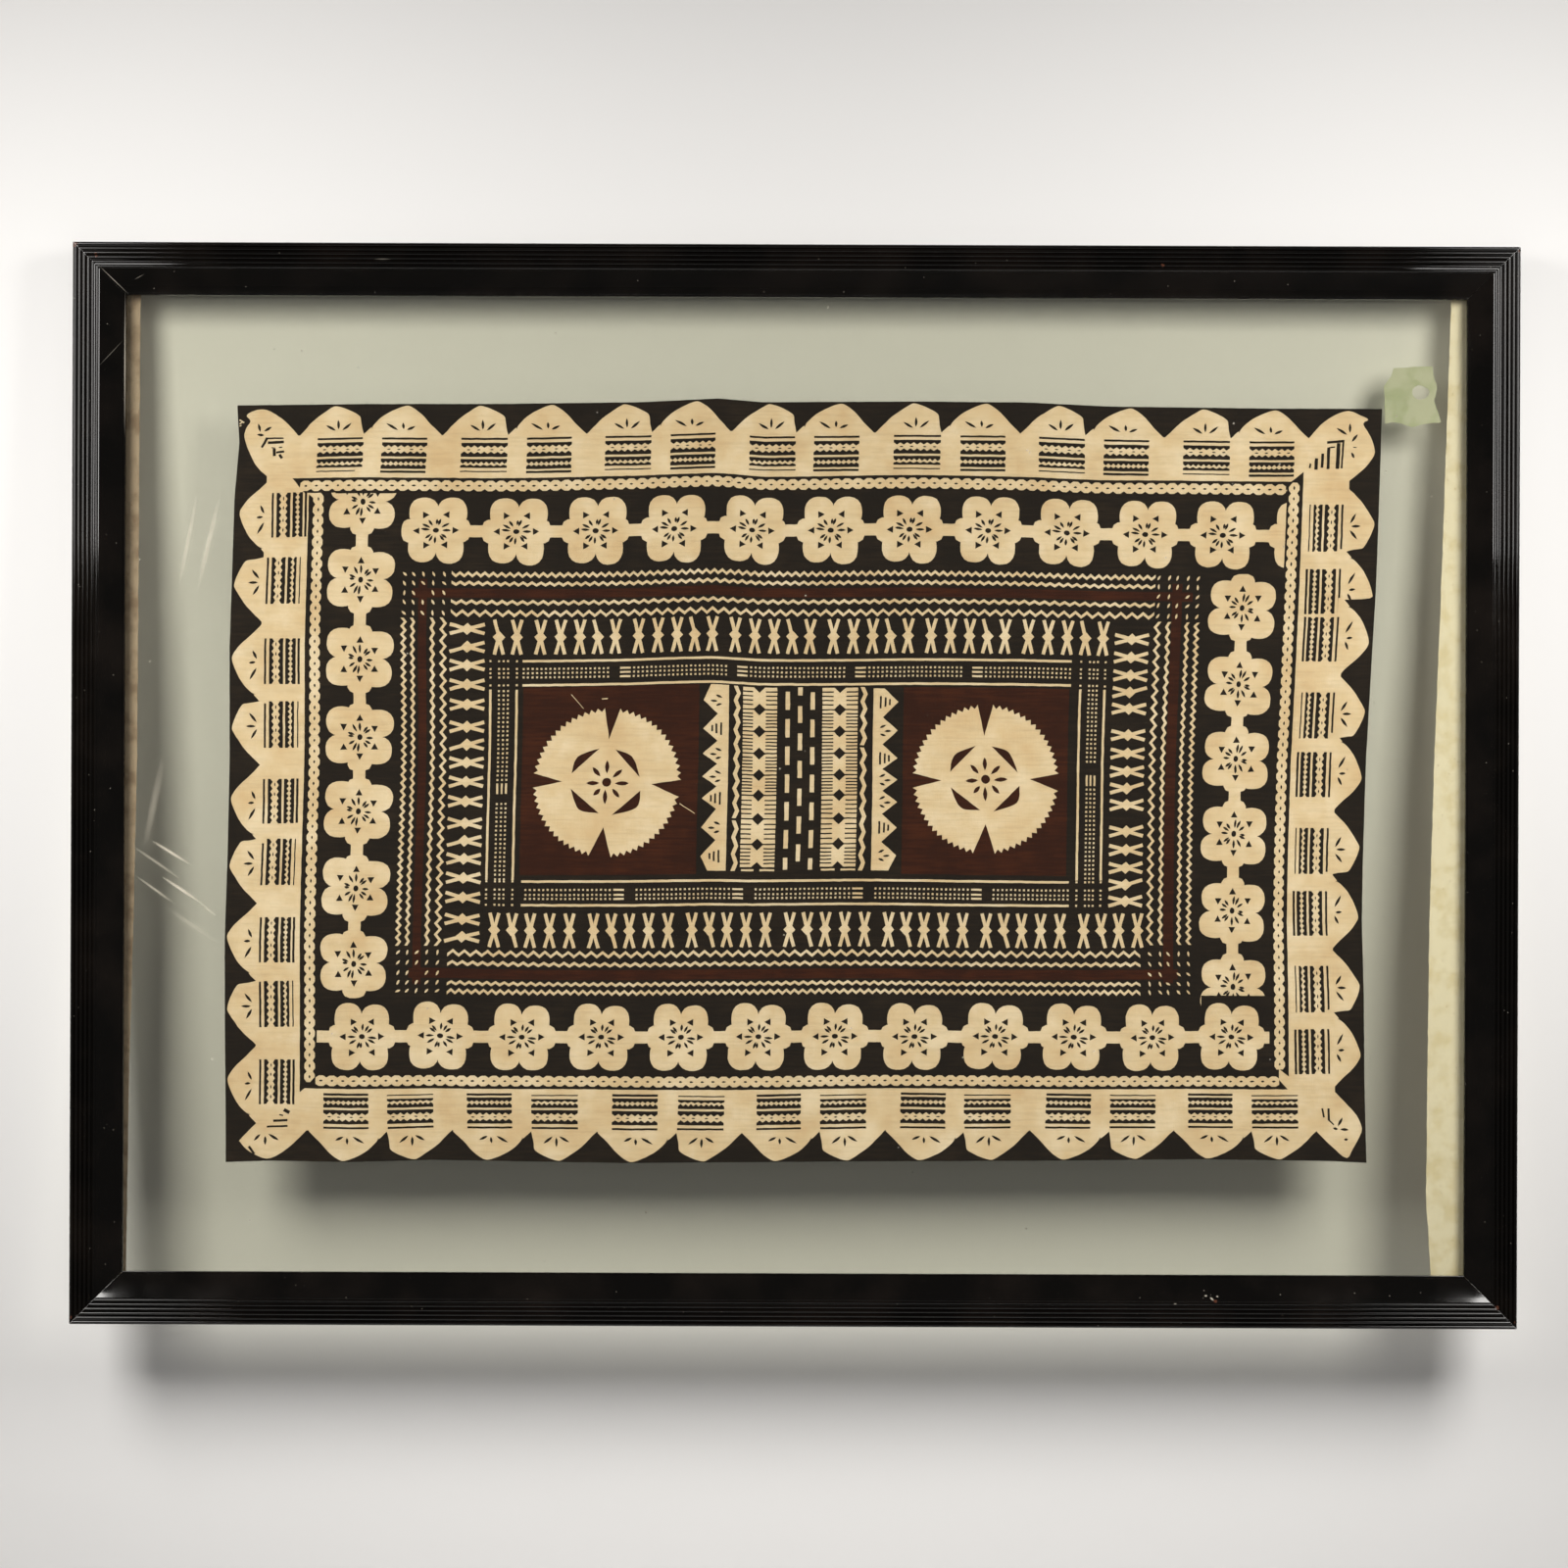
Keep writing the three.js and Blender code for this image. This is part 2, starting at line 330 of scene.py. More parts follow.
# The lobes at the corners, as distances in from the upright and from the level edge.
CORNER_LOBES = {
    (-1, 1): [(49.8, 25.6), (40.1, 14.4), (27.5, 5.4), (18.9, 3.5), (11.1, 5.6), (7.2, 8.6), (10.2, 13),
              (6.6, 18.7), (4.4, 26.6), (8.8, 38.6), (16.6, 51.2), (26.3, 59.8)],
    (1, 1): [(60.6, 25.6), (50.5, 13.6), (39.5, 5.6), (28, 1.9), (17.6, 5.6), (11.1, 9.1), (15.2, 12.9),
             (8.8, 23.5), (4.9, 35.6), (8.4, 43.9), (15.5, 52), (28.6, 62.8)],
    (-1, -1): [(67.7, 25.6), (56.8, 14.8), (44.2, 5.3), (34.4, 1.8), (24, 5.7), (16.5, 10.8),
               (11.9, 16.7), (11.7, 17.6), (18, 24), (26.9, 32.2)],
    (1, -1): [(41.1, 24.5), (26.9, 10.6), (16.4, 3.2), (11.2, 11.1), (6.2, 19.9), (3.2, 28.8),
              (7.7, 39.8), (17.4, 50.2), (27.1, 59.9)],
}

# Leaves and pieces of bars in the corner lobes, as lines from tip to tip.
CORNER_LEAVES = {
    (-1, 1): [((16.6, 15), (18, 22)), ((28, 18), (21.2, 21.5)), ((15, 24.2), (21.2, 24.8))],
    (1, 1): [((37.5, 16.3), (28.2, 22)), ((26.1, 12.2), (26.1, 20.3)), ((19.5, 21.2), (24.2, 28.1)),
             ((24.5, 36.6), (21.9, 41.5))],
    (-1, -1): [((23.7, 16.9), (29.2, 21.8)), ((33.2, 13), (33.2, 20.6)), ((35.8, 22.1), (44.5, 16.9))],
    (1, -1): [((19.4, 37.2), (23.3, 29.4)), ((21.6, 26.9), (14.3, 27)), ((27.8, 27.9), (23.3, 27)),
              ((18.5, 18.6), (15, 18.7))],
}
CORNER_BARS = {
    (-1, 1): [((22.1, 27.4), (37.4, 27.5), 1.3), ((23.8, 31), (37.4, 30.7), 2.3),
              ((23.1, 27.6), (18.9, 35), 2), ((27.3, 35.4), (30.3, 35.7), 1), ((33.5, 35), (36.5, 35), 1),
              ((29.6, 36.2), (30.3, 42.3), 2.6), ((31.6, 39.3), (38.1, 38.5), 1.8),
              ((34.5, 41), (36.8, 44.3), 2.2)],
    (1, 1): [((45, 28.5), (31.6, 27.5), 2.2), ((31.2, 26.5), (32.3, 50), 1.6),
             ((35.2, 29.1), (35.9, 50.6), 3.2), ((43.5, 32.7), (43.7, 50.9), 2.6),
             ((43.5, 33), (38.2, 32.3), 1.2), ((48.4, 37.9), (48.7, 49.6), 2.2),
             ((53.5, 41.9), (53.8, 51.3), 2.8), ((58.3, 46.1), (59, 50), 1.6),
             ((23.2, 32.5), (20.2, 32.5), 0.8)],
    (-1, -1): [((34.8, 28.1), (51.8, 28.8), 1.6), ((40, 32.9), (51.8, 33.6), 2),
               ((45.2, 38.1), (48.3, 37.4), 1.2), ((49, 42.3), (53.5, 39.8), 3),
               ((19.5, 12.2), (24, 5.9), 2)],
    (1, -1): [((36.3, 44.3), (35, 36.7), 1.6), ((31.1, 44.3), (30.9, 34.3), 1.8),
              ((30.9, 34.5), (26.8, 30.5), 1.2)],
}


# The stripes inside a lobe, as depths: the outer line, then the toothed bars by their straight edge, the
# base and the tips of their teeth and their share of the tooth pitch, and the inner line. A bold lobe ends
# in heavier stripes than a light one.
TOOTH_PITCH = 5.4
OUTER_LINE = (26.2, 27.9)
TOOTHED_BARS = [(30.3, 32.5, 34.3, 1), (41.9, 39.4, 37.6, 1), (43.7, 46, 47.8, 0.8)]
LAST_TOOTHED_BAR = {"light": (51.1, 49.5, 48.3, 1), "bold": (52.3, 49.8, 48.4, 0.8)}
INNER_LINE = {"light": (53.6, 54.6), "bold": (53.8, 55.7)}
DASH_DEPTH = 36
DASH_SHARES = (0.16, 0.38, 0.66, 0.87)
DASH_HALF_LENGTH = 1.7
DASH_WIDTH = 1.1


def lay_bars(chart, place, x0, x1, weight):
    """The stripes inside a lobe, from the outer line to the inner one."""
    chart.lay(bar(x0, x1, *OUTER_LINE), BLACK, place)
    for index, (straight, base, tips, share) in enumerate([*TOOTHED_BARS, LAST_TOOTHED_BAR[weight]]):
        chart.lay(toothed_bar(x0, x1, straight, base, tips, TOOTH_PITCH * share), BLACK, place)
        for dash in DASH_SHARES if index == 0 else ():
            x = x0 + dash * (x1 - x0)
            ends = ((x - DASH_HALF_LENGTH, DASH_DEPTH), (x + DASH_HALF_LENGTH, DASH_DEPTH))
            chart.lay(leaf(*ends, DASH_WIDTH), BLACK, place)
    chart.lay(bar(x0, x1, *INNER_LINE[weight]), BLACK, place)


def lay_lobe(chart, side, kind, peak, deeper=0):
    """One lobe of the border with its sprig and its bars."""
    lobe = LOBES[kind]
    sway = noise.noise(Vector((peak, 0.5, 7))) * 1.2
    place = at(SIDES[side], peak, LOBE_PEAK_DEPTHS[side] + deeper, turn=sway)
    outline = smooth_line(lobe["outline"])
    base = [(outline[-1][0], LOBE_BASE_DEPTH), (outline[0][0], LOBE_BASE_DEPTH)]
    chart.lay(outline + base, BARK, place)
    for tip, end in lobe["sprig"]:
        chart.lay(leaf(tip, end, LEAF_WIDTH), BLACK, place)
    lay_bars(chart, place, *lobe["bars"])


def lay_border(chart):
    """The black edge with its cream lobes, round all four sides."""
    chart.lay(bar(-HALF_WIDTH, HALF_WIDTH, -HALF_HEIGHT, HALF_HEIGHT), BLACK)
    inner_width, inner_height = HALF_WIDTH - RING_DEPTH, HALF_HEIGHT - RING_DEPTH
    chart.lay(bar(-inner_width, inner_width, -inner_height, inner_height), BARK)
    for side, lobes in SIDE_LOBES.items():
        for lobe in lobes:
            lay_lobe(chart, side, *lobe)
    for corner, outline in CORNER_LOBES.items():
        place = corner_place(*corner)
        deep = (outline[0][0], outline[-1][1])
        chart.lay([*smooth_line(outline), deep], BARK, place)
        for tip, end in CORNER_LEAVES[corner]:
            chart.lay(leaf(tip, end, LEAF_WIDTH), BLACK, place)
        for start, end, width in CORNER_BARS[corner]:
            chart.lay(stroke(start, end, width), BLACK, place)


# The string of beads between the border and the flowers: where it starts and ends on each side, and how
# deep its black line, its middle and its inner edge lie.
BEAD_STRINGS = {
    "left": {"line": (-258, 240), "beads": (-249.5, 240.5), "depth": 61.8, "middle": 70},
    "right": {"line": (-262, 244), "beads": (-253, 238), "depth": 64, "middle": 71.5},
    "top": {"line": (-429, 404), "beads": (-422, 397.5), "depth": 61.2, "middle": 67.8},
    "bottom": {"line": (-411, 410), "beads": (-404, 401), "depth": 60.3, "middle": 66.9},
}
BEAD_PITCH = 9
BEAD_WAIST = 2.6
BEAD_BELLY = 4.4
BEAD_DASH_WIDTH = 1.6

# How far inside the beads' middle their black line ends, and how much shorter it is there at each end.
BEAD_LINE_REACH = 6
BEAD_LINE_CUT = 11
GROUND_DEPTH = 72


def lay_bead_strings(chart):
    """A black line, then a cream string of beads with a dash in each, on the black ground."""
    for side, string in BEAD_STRINGS.items():
        place = SIDES[side]
        start, end = string["line"]
        middle = string["middle"]
        outer, inner = string["depth"], middle + BEAD_LINE_REACH
        line = [(start, outer), (end, outer), (end - BEAD_LINE_CUT, inner), (start + BEAD_LINE_CUT, inner)]
        chart.lay(line, BLACK, place)
        start, end = string["beads"]
        chart.lay(bead_string(start, end, middle, BEAD_PITCH, BEAD_WAIST, BEAD_BELLY), BARK, place)
        count = round((end - start) / BEAD_PITCH)
        step = (end - start) / count
        for bead in range(count):
            x = start + (bead + 0.5) * step
            length = 1.6 + 0.8 * noise.noise(Vector((x, middle, 3)))
            chart.lay(leaf((x - length, middle), (x + length, middle), BEAD_DASH_WIDTH), BLACK, place)


# Flowers in a row: x runs along the row.
FLOWER_PETALS = [(-9.7, -15, 12.2, 12.9), (13.3, -14.6, 12.3, 13), (-11, 13.6, 11.8, 12.9),
                 (11.3, 14.5, 11.5, 13.6)]
FLOWER_ROWS = {
    "left": {"depth": 107.2, "places": (-150.5, -88.2, -23.9, 38.8, 102.8, 168.3, 233.5)},
    "right": {"depth": 111.2, "places": (-149.1, -85.4, -21.8, 41.3, 105.3, 169.3)},
    "top": {"depth": 106, "places": [-307.4 + 65.4 * k for k in range(11)]},
    "bottom": {"depth": 103.8, "places": (-364.4, -296.2, -230.2, -164.6, -96.9, -31, 32.8, 98.2, 163.8,
                                          229.3, 296.4, 362.4)},
}
FLOWER_NECK = 5
FLOWER_HEART = (0, 0, 18, 15)
FLOWER_KNOBS = [(-20, 0, 8.3, 10), (20, 0, 8.3, 10)]
FLOWER_EYE = (0, 0, 2.6, 2.1)
FLOWER_RAYS = 12
FLOWER_RAY_WIDTH = 2.2
FLOWER_TRIANGLE = [(3.2, 0), (-2.2, 2.9), (-2.2, -2.9)]
FLOWER_TRIANGLES_AT = [(15.8, 0, 0), (-15.8, 0, 180), (-8.4, -13.2, 0), (8.8, -13.2, 180),
                       (-8, 12.2, 0), (7.2, 12.2, 180)]

# Where the rows run on past their last flower: the end of each neck along the row.
ROW_ENDS = {"top": (None, 399), "bottom": (-396, 402)}
CUT_FLOWER = (412.8, 398.9)

# What the rows cut off the columns.
LEFT_COLUMN_CUT = (-392, -336, 70, 74.5)
RIGHT_COLUMN_CUT = (176.3, 204, 78, 138)


def cut_short(outline, limit):
    """What lies before a limit along x."""
    kept = []
    for here, there in zip(outline, outline[1:] + outline[:1]):
        if here[0] <= limit:
            kept.append(here)
        if (here[0] <= limit) != (there[0] <= limit):
            share = (limit - here[0]) / (there[0] - here[0])
            kept.append((limit, here[1] + (there[1] - here[1]) * share))
    return kept


def lay_petals(chart, place, limit=40):
    """The four petals of a flower and the knobs at its two ends, as far as they lie before the limit."""
    outlines = [disc(x, y, rx, ry, sides=22, squareness=2.4) for x, y, rx, ry in FLOWER_PETALS]
    outlines.append(disc(*FLOWER_HEART, sides=16))
    outlines += [disc(*knob, sides=16, squareness=3) for knob in FLOWER_KNOBS]
    for outline in outlines:
        kept = cut_short(outline, limit)
        if kept:
            chart.lay(kept, BARK, place)


def lay_flower(chart, place):
    """A four-petalled flower with a ring of rays."""
    lay_petals(chart, place)
    chart.lay(disc(*FLOWER_EYE, sides=10), BLACK, place)
    for ray in range(FLOWER_RAYS):
        angle = math.radians(360 / FLOWER_RAYS * ray + 8 * math.sin(2.3 * ray))
        near = 4.9 + 0.5 * math.sin(3.1 * ray)
        far = 11.4 + 1.1 * math.cos(2 * angle) + 0.6 * math.sin(4.7 * ray)
        c, s = math.cos(angle), math.sin(angle)
        chart.lay(leaf((near * c, near * s), (far * c, far * s), FLOWER_RAY_WIDTH), BLACK, place)
    for x, y, turn in FLOWER_TRIANGLES_AT:
        chart.lay(FLOWER_TRIANGLE, BLACK, at(place, x, y, turn=turn))


def lay_flower_row(chart, side):
    """One row of flowers on the black ground, joined by necks."""
    row = FLOWER_ROWS[side]
    depth = row["depth"]
    places = row["places"]
    first, last = ROW_ENDS.get(side, (None, None))
    ends = (first or places[0], last or places[-1])
    chart.lay(bar(min(ends), max(ends), depth - FLOWER_NECK, depth + FLOWER_NECK), BARK, SIDES[side])
    for x in places:
        jog = noise.noise(Vector((x, depth, 11)))
        lay_flower(chart, at(SIDES[side], x + jog, depth + 0.8 * jog, turn=2 * jog))


def lay_flower_rows(chart):
    """The columns first, as the rows cut them short at the top left and at the bottom right."""
    lay_flower_row(chart, "left")
    chart.lay(bar(*LEFT_COLUMN_CUT), BLACK, SIDES["top"])
    lay_flower_row(chart, "right")
    chart.lay(bar(*RIGHT_COLUMN_CUT), BLACK, SIDES["right"])
    lay_flower_row(chart, "top")
    lay_flower_row(chart, "bottom")
    middle, cut = CUT_FLOWER
    lay_petals(chart, at(SIDES["top"], middle, FLOWER_ROWS["top"]["depth"]), limit=cut - middle)


# The bands inside the flowers, as depths from each side's edge.
BANDS = {
    "top": {"zigzags": (142.1, 149.6, 165.2, 174.2), "brown": (153.8, 161.5), "crosses": 193.8,
            "lines": (213.5, 233.5), "dots": (220, 223.5, 227)},
    "right": {"zigzags": (148.9, 157.2, 173, 182), "brown": (162, 170.4), "crosses": 203.2,
              "lines": (224.2, 244.6), "dots": (230.7, 234, 237.3)},
    "bottom": {"zigzags": (141.4, 148.4, 165, 173.5), "brown": (152.2, 160.6), "crosses": 193.4,
               "lines": (214.4, 234), "dots": (219.7, 223, 227.1)},
    "left": {"zigzags": (143.5, 151, 167.2, 176), "brown": (155.4, 162.2), "crosses": 195.8,
             "lines": (214.9, 236.7), "dots": (222, 225.8, 229.4)},
}
ZIGZAG_SHAPES = [(6.8, 2.8, 2.6), (7.3, 2.2, 2.4), (8.4, 2.4, 2.5), (9.5, 3.8, 2.7)]
ZIGZAG_SPANS = {"top": (-294, 291), "right": (-136, 134), "bottom": (-286, 292), "left": (-136, 137)}
LINE_SPANS = {"top": (-234.6, 223.5), "right": (-78.5, 79.5), "bottom": (-225, 232), "left": (-80, 78)}
LINE_STROKE = 2
DOT_PITCH = 3.68
DOT_SIZE = 1.6
CORNER_DASH = ((-2.4, 0), (2.4, 0), 1.9)


def lay_zigzags(chart):
    """Two pairs of zigzags with a brown stripe between them, on each side."""
    for side, bands in BANDS.items():
        start, end = ZIGZAG_SPANS[side]
        outer, inner = bands["brown"]
        chart.lay(bar(start - 32, end + 32, outer, inner), BROWN, SIDES[side])
        for depth, (pitch, rise, thick) in zip(bands["zigzags"], ZIGZAG_SHAPES):
            chart.lay(zigzag(start, end, depth, pitch, rise, thick), BARK, SIDES[side])


def lay_corner_blocks(chart):
    """Where the bands cross: short dashes outside, small squares inside."""
    for across, upright in ((-1, "left"), (1, "right")):
        for up, level in ((1, "top"), (-1, "bottom")):
            place = corner_place(across, up)
            xs, ys = ([*BANDS[s]["zigzags"], sum(BANDS[s]["brown"]) / 2] for s in (upright, level))
            for x in xs:
                for y in ys:
                    if x == xs[-1] and y == ys[-1]:
                        continue
                    tilt = 60 + 50 * noise.noise(Vector((x * across, y * up, 5)))
                    chart.lay(leaf(*CORNER_DASH), BARK, at(place, x, y, turn=tilt))
            xs, ys = ([*BANDS[s]["lines"], *BANDS[s]["dots"]] for s in (upright, level))
            for x in xs:
                for y in ys:
                    half = DOT_SIZE / 2
                    chart.lay(bar(x - half, x + half, y - half, y + half), BARK, place)


# Rows of crosses, in groups of five from one stencil. The fourth of each lacks an outer arm.
CROSS_STEPS = (0, 16.4, 32.4, 47.4, 62.1)
CROSS_MISSING_ARM = 3
CROSS_ARMS = [((-3.9, -14.4), (-0.4, -2)), ((-3.7, 14.2), (-0.5, 2)), ((3.7, 14.2), (0.5, 2)),
              ((3.9, -14.4), (0.4, -2))]
CROSS_ARM_WIDTH = 2.9
CROSS_DIAMOND = [(-5, -0.3), (-0.6, -4.9), (0.7, -4.8), (5, 0), (0.9, 4.6), (-0.8, 4.7)]
CROSS_ROWS = {
    "top": {"first": -301.7, "group": 81.4, "stretch": 1, "span": (-258, 250)},
    "right": {"first": -121, "group": 80, "stretch": 0.935, "span": (-122, 100)},
    "bottom": {"first": -300, "group": 81.95, "stretch": 1, "span": (-287, 256)},
    "left": {"first": -175.4, "group": 80.4, "stretch": 1, "span": (-130, 130)},
}


def lay_cross(chart, place, whole=True):
    """Two strokes that cross behind a diamond, or without the last of the four arms."""
    for start, end in CROSS_ARMS if whole else CROSS_ARMS[:-1]:
        chart.lay(stroke(start, end, CROSS_ARM_WIDTH), BARK, place)
    chart.lay(CROSS_DIAMOND, BARK, place)


def lay_crosses(chart):
    """Crosses in rows along the top and bottom and in columns down both sides."""
    for side, row in CROSS_ROWS.items():
        low, high = row["span"]
        for group in range(8):
            for index, step in enumerate(CROSS_STEPS):
                x = row["first"] + group * row["group"] + step * row["stretch"]
                if low <= x <= high:
                    lay_cross(chart, at(SIDES[side], x, BANDS[side]["crosses"]), index != CROSS_MISSING_ARM)


# Dark gaps in the rows of dots, each followed by three dashes side by side.
DOT_GAPS = {"top": (-161.2, -63, 35.2, 133.4), "bottom": (-159, -59.5, 40, 139.5),
            "left": (-15.8,), "right": (-14.9,)}
DOT_GAP_LENGTH = 7.4
DASH_LENGTH = 8.8


def lay_lines_and_dots(chart):
    """Two lines with three rows of dots between them, on each side of the middle field."""
    for side, bands in BANDS.items():
        start, end = LINE_SPANS[side]
        for depth in bands["lines"]:
            chart.lay(bar(start, end, depth - LINE_STROKE / 2, depth + LINE_STROKE / 2), BARK, SIDES[side])
        for depth in bands["dots"]:
            top, low = depth - DOT_SIZE / 2, depth + DOT_SIZE / 2
            x = start
            for gap in [*DOT_GAPS[side], end]:
                while x + DOT_SIZE <= gap:
                    chart.lay(bar(x, x + DOT_SIZE, top, low), BARK, SIDES[side])
                    x += DOT_PITCH
                x = gap + DOT_GAP_LENGTH
                if gap < end:
                    chart.lay(bar(x, x + DASH_LENGTH, top, low), BARK, SIDES[side])
                    x += DASH_LENGTH + DOT_PITCH - DOT_SIZE


# The middle field: two brown panels with a roundel each, and a black block of combs between them.
BROWN_PANELS = [(-233.8, -86.9, -75.7, 79.8), (83.7, 222.4, -75.7, 78.6)]
ROUNDELS = [(-162.6, 0, 0), (153.5, 3, 4)]
ROUNDEL_RADIUS = 61.8
ROUNDEL_TOOTH = 3.3
ROUNDEL_TOOTH_PITCH = 5.7
ROUNDEL_QUARTERS = [(1.2, 80.7), (92.8, 172.1), (183.3, 256.8), (274.1, 348)]
ROUNDEL_NOTCHES = [(1.1, 35.6), (-37.1, 1.1), (-2, -36.7), (37.1, -2)]
ROUNDEL_SEGMENTS = [((-6.6, 28), (-24.7, 21.4), (-29.4, 7.7)), ((6.6, 26.9), (20.8, 20.8), (27.4, 3.8)),
                    ((-29.8, -4.9), (-22.5, -21.9), (-6, -25.2)), ((28.2, -7.1), (25.2, -20.8), (4.9, -26.9))]
ROUNDEL_LEAVES = [((6.8, -1), (18.6, -1)), ((-6, -0.5), (-17, -0.5)), ((0, 7.1), (0.3, 18.1)),
                  ((-1, -6), (-1, -18)), ((4.9, 3.8), (12.9, 10.4)), ((-5.5, 4.9), (-12, 12.6)),
                  ((-4.9, -5.3), (-10.7, -10.7)), ((4.9, -5.3), (10.7, -12.6))]
ROUNDEL_LEAF_WIDTH = 3.6
ROUNDEL_EYE = (0, 0, 3.8, 3.7)


def lay_roundel(chart, place):
    """A toothed disc in four quarters, with a star of leaves in the middle."""
    outline = []
    for (start, end), notch in zip(ROUNDEL_QUARTERS, ROUNDEL_NOTCHES):
        span = math.radians(end - start)
        teeth = round(span * ROUNDEL_RADIUS / ROUNDEL_TOOTH_PITCH)
        for half in range(2 * teeth + 1):
            angle = math.radians(start) + span * half / (2 * teeth)
            radius = ROUNDEL_RADIUS - (ROUNDEL_TOOTH if half % 2 else 0)
            outline.append((radius * math.cos(angle), radius * math.sin(angle)))
        outline.append(notch)
    chart.lay(outline, BARK, place)
    for start, bulge, end in ROUNDEL_SEGMENTS:
        chart.lay(smooth_line([start, bulge, end], steps=6), BROWN, place)
    for tip, end in ROUNDEL_LEAVES:
        chart.lay(leaf(tip, end, ROUNDEL_LEAF_WIDTH), BROWN, place)
    chart.lay(disc(*ROUNDEL_EYE), BROWN, place)


# The two toothed edges of the middle block: x of the straight edge, of the tips and of the valleys, x of
# the outer corners, both ends' heights, and the heights of the tips and of the valleys.
TRIANGLE_EDGES = [
    {"x": (-62.1, -83.3, -71.3), "corners": (-77.3, -77.3), "top": 79.4, "low": -73, "marks": "LBLLBLB",
     "tips": (66.2, 42.9, 22.3, 3.7, -14.1, -37.7, -61.2), "valleys": (55.1, 32.9, 14, -4.4, -22.7, -48)},
    {"x": (58.3, 79.2, 66.5), "corners": (67.5, 72.8), "top": 77.7, "low": -73, "marks": "BLBLLBL",
     "tips": (66.2, 42.5, 19.4, 1.7, -16.7, -37.7, -60.6), "valleys": (53.5, 31, 10.5, -7.5, -26.5, -49.5)},
]

# What stands in a triangle, from its straight edge out: three bars, by place and half length, for B, or
# three leaves, by both tips, for L.
TRIANGLE_BARS = [(6.2, 5.1), (10.2, 4), (13.7, 2.6)]
TRIANGLE_LEAVES = [((5.5, 2.2), (11, 4.6)), ((9.5, -0.6), (15.5, -0.3)), ((5.8, -2.6), (10.8, -4.4))]
TRIANGLE_BAR_HALF_WIDTH = 0.8
TRIANGLE_LEAF_WIDTH = 2
COMB_COLUMNS = [(-50.4, -21.9, -36.6), (15.8, 45.3, 30.4)]
COMB_ROWS = (79.2, 60.2, 42.1, 23.8, 6, -10.7, -30, -50.9, -70.3)
COMB_TEETH = (5, 6, 6, 6, 6, 5, 5, 6)
BLOCK_ZIGZAGS = [(-55.2, -30.6), (50.4, 29.5)]
BLOCK_ZIGZAG_SHAPE = (12.5, 2.6, 3.4)
DASH_COLUMNS = [(-13.05, 75.4, 15.2), (-2.7, 63.4, 14), (7.7, 74.9, 14.6)]
DASH_COLUMN_PITCH = 22.9
DASH_COLUMN_HALF_WIDTH = 1.8
BLOCK_TOP = 79
BLOCK_LOW = -73


def lay_triangle_edge(chart, edge):
    """A strip whose outer edge is cut in triangles, with three leaves or three bars in each."""
    straight, tip, valley = edge["x"]
    outline = [(straight, edge["low"]), (straight, edge["top"]), (edge["corners"][0], edge["top"])]
    for index, height in enumerate(edge["tips"]):
        outline.append((tip, height))
        if index < len(edge["valleys"]):
            outline.append((valley, edge["valleys"][index]))
    outline.append((edge["corners"][1], edge["low"]))
    chart.lay(outline, BARK)
    way = 1 if tip > straight else -1
    for mark, height in zip(edge["marks"], edge["tips"]):
        place = at(chart_place, straight, height, flip=way)
        if mark == "B":
            for x, half in TRIANGLE_BARS:
                left, right = x - TRIANGLE_BAR_HALF_WIDTH, x + TRIANGLE_BAR_HALF_WIDTH
                chart.lay(bar(left, right, -half, half), BLACK, place)
        else:
            for tip, end in TRIANGLE_LEAVES:
                chart.lay(leaf(tip, end, TRIANGLE_LEAF_WIDTH), BLACK, place)


def lay_combs(chart, left, right, middle):
    """A column of double combs: teeth on both sides and black diamonds between the cells."""
    notch_half, notch_depth = 4.6, 4.4
    slot_half, body = 0.575, 5.3
    notch_left, notch_right = middle - notch_half, middle + notch_half
    cells = list(zip(COMB_ROWS, COMB_ROWS[1:]))
    for (high, low), teeth in zip(cells, COMB_TEETH):
        top, base = high - 0.6, low + 0.6
        chart.lay([(left, base), (notch_left, base), (middle, base + notch_depth), (notch_right, base),
                   (right, base), (right, top), (notch_right, top), (middle, top - notch_depth),
                   (notch_left, top), (left, top)], BARK)
        step = (top - base) / teeth
        for k in range(1, teeth):
            y = base + k * step
            chart.lay(bar(left - 0.1, middle - body, y - slot_half, y + slot_half), BLACK)
            chart.lay(bar(middle + body, right + 0.1, y - slot_half, y + slot_half), BLACK)
    for start, end in ((left + 1, middle - 2.5), (middle + 2.5, right)):
        chart.lay(bar(start, end, BLOCK_LOW, BLOCK_LOW + 1.6), BARK)


def lay_middle(chart):
    """The two brown panels and the block between them."""
    for x0, x1, y0, y1 in BROWN_PANELS:
        chart.lay(bar(x0, x1, y0, y1), BROWN)
    for x, y, turn in ROUNDELS:
        lay_roundel(chart, at(chart_place, x, y, turn=turn))
    for edge in TRIANGLE_EDGES:
        lay_triangle_edge(chart, edge)
    for left, right, middle in COMB_COLUMNS:
        lay_combs(chart, left, right, middle)

    def upright(x):
        return lambda s, d: (x + d, s)

    for x, break_height in BLOCK_ZIGZAGS:
        for start, end in ((BLOCK_LOW, break_height - 1), (break_height + 1, BLOCK_TOP)):
            chart.lay(zigzag(start, end, 0, *BLOCK_ZIGZAG_SHAPE), BARK, upright(x))
    for x, first, length in DASH_COLUMNS:
        for k in range(-1, 7):
            top = min(first - DASH_COLUMN_PITCH * k, BLOCK_TOP)
            low = max(first - DASH_COLUMN_PITCH * k - length, BLOCK_LOW + 1)
            if top - low > 2:
                chart.lay(bar(x - DASH_COLUMN_HALF_WIDTH, x + DASH_COLUMN_HALF_WIDTH, low, top), BARK)


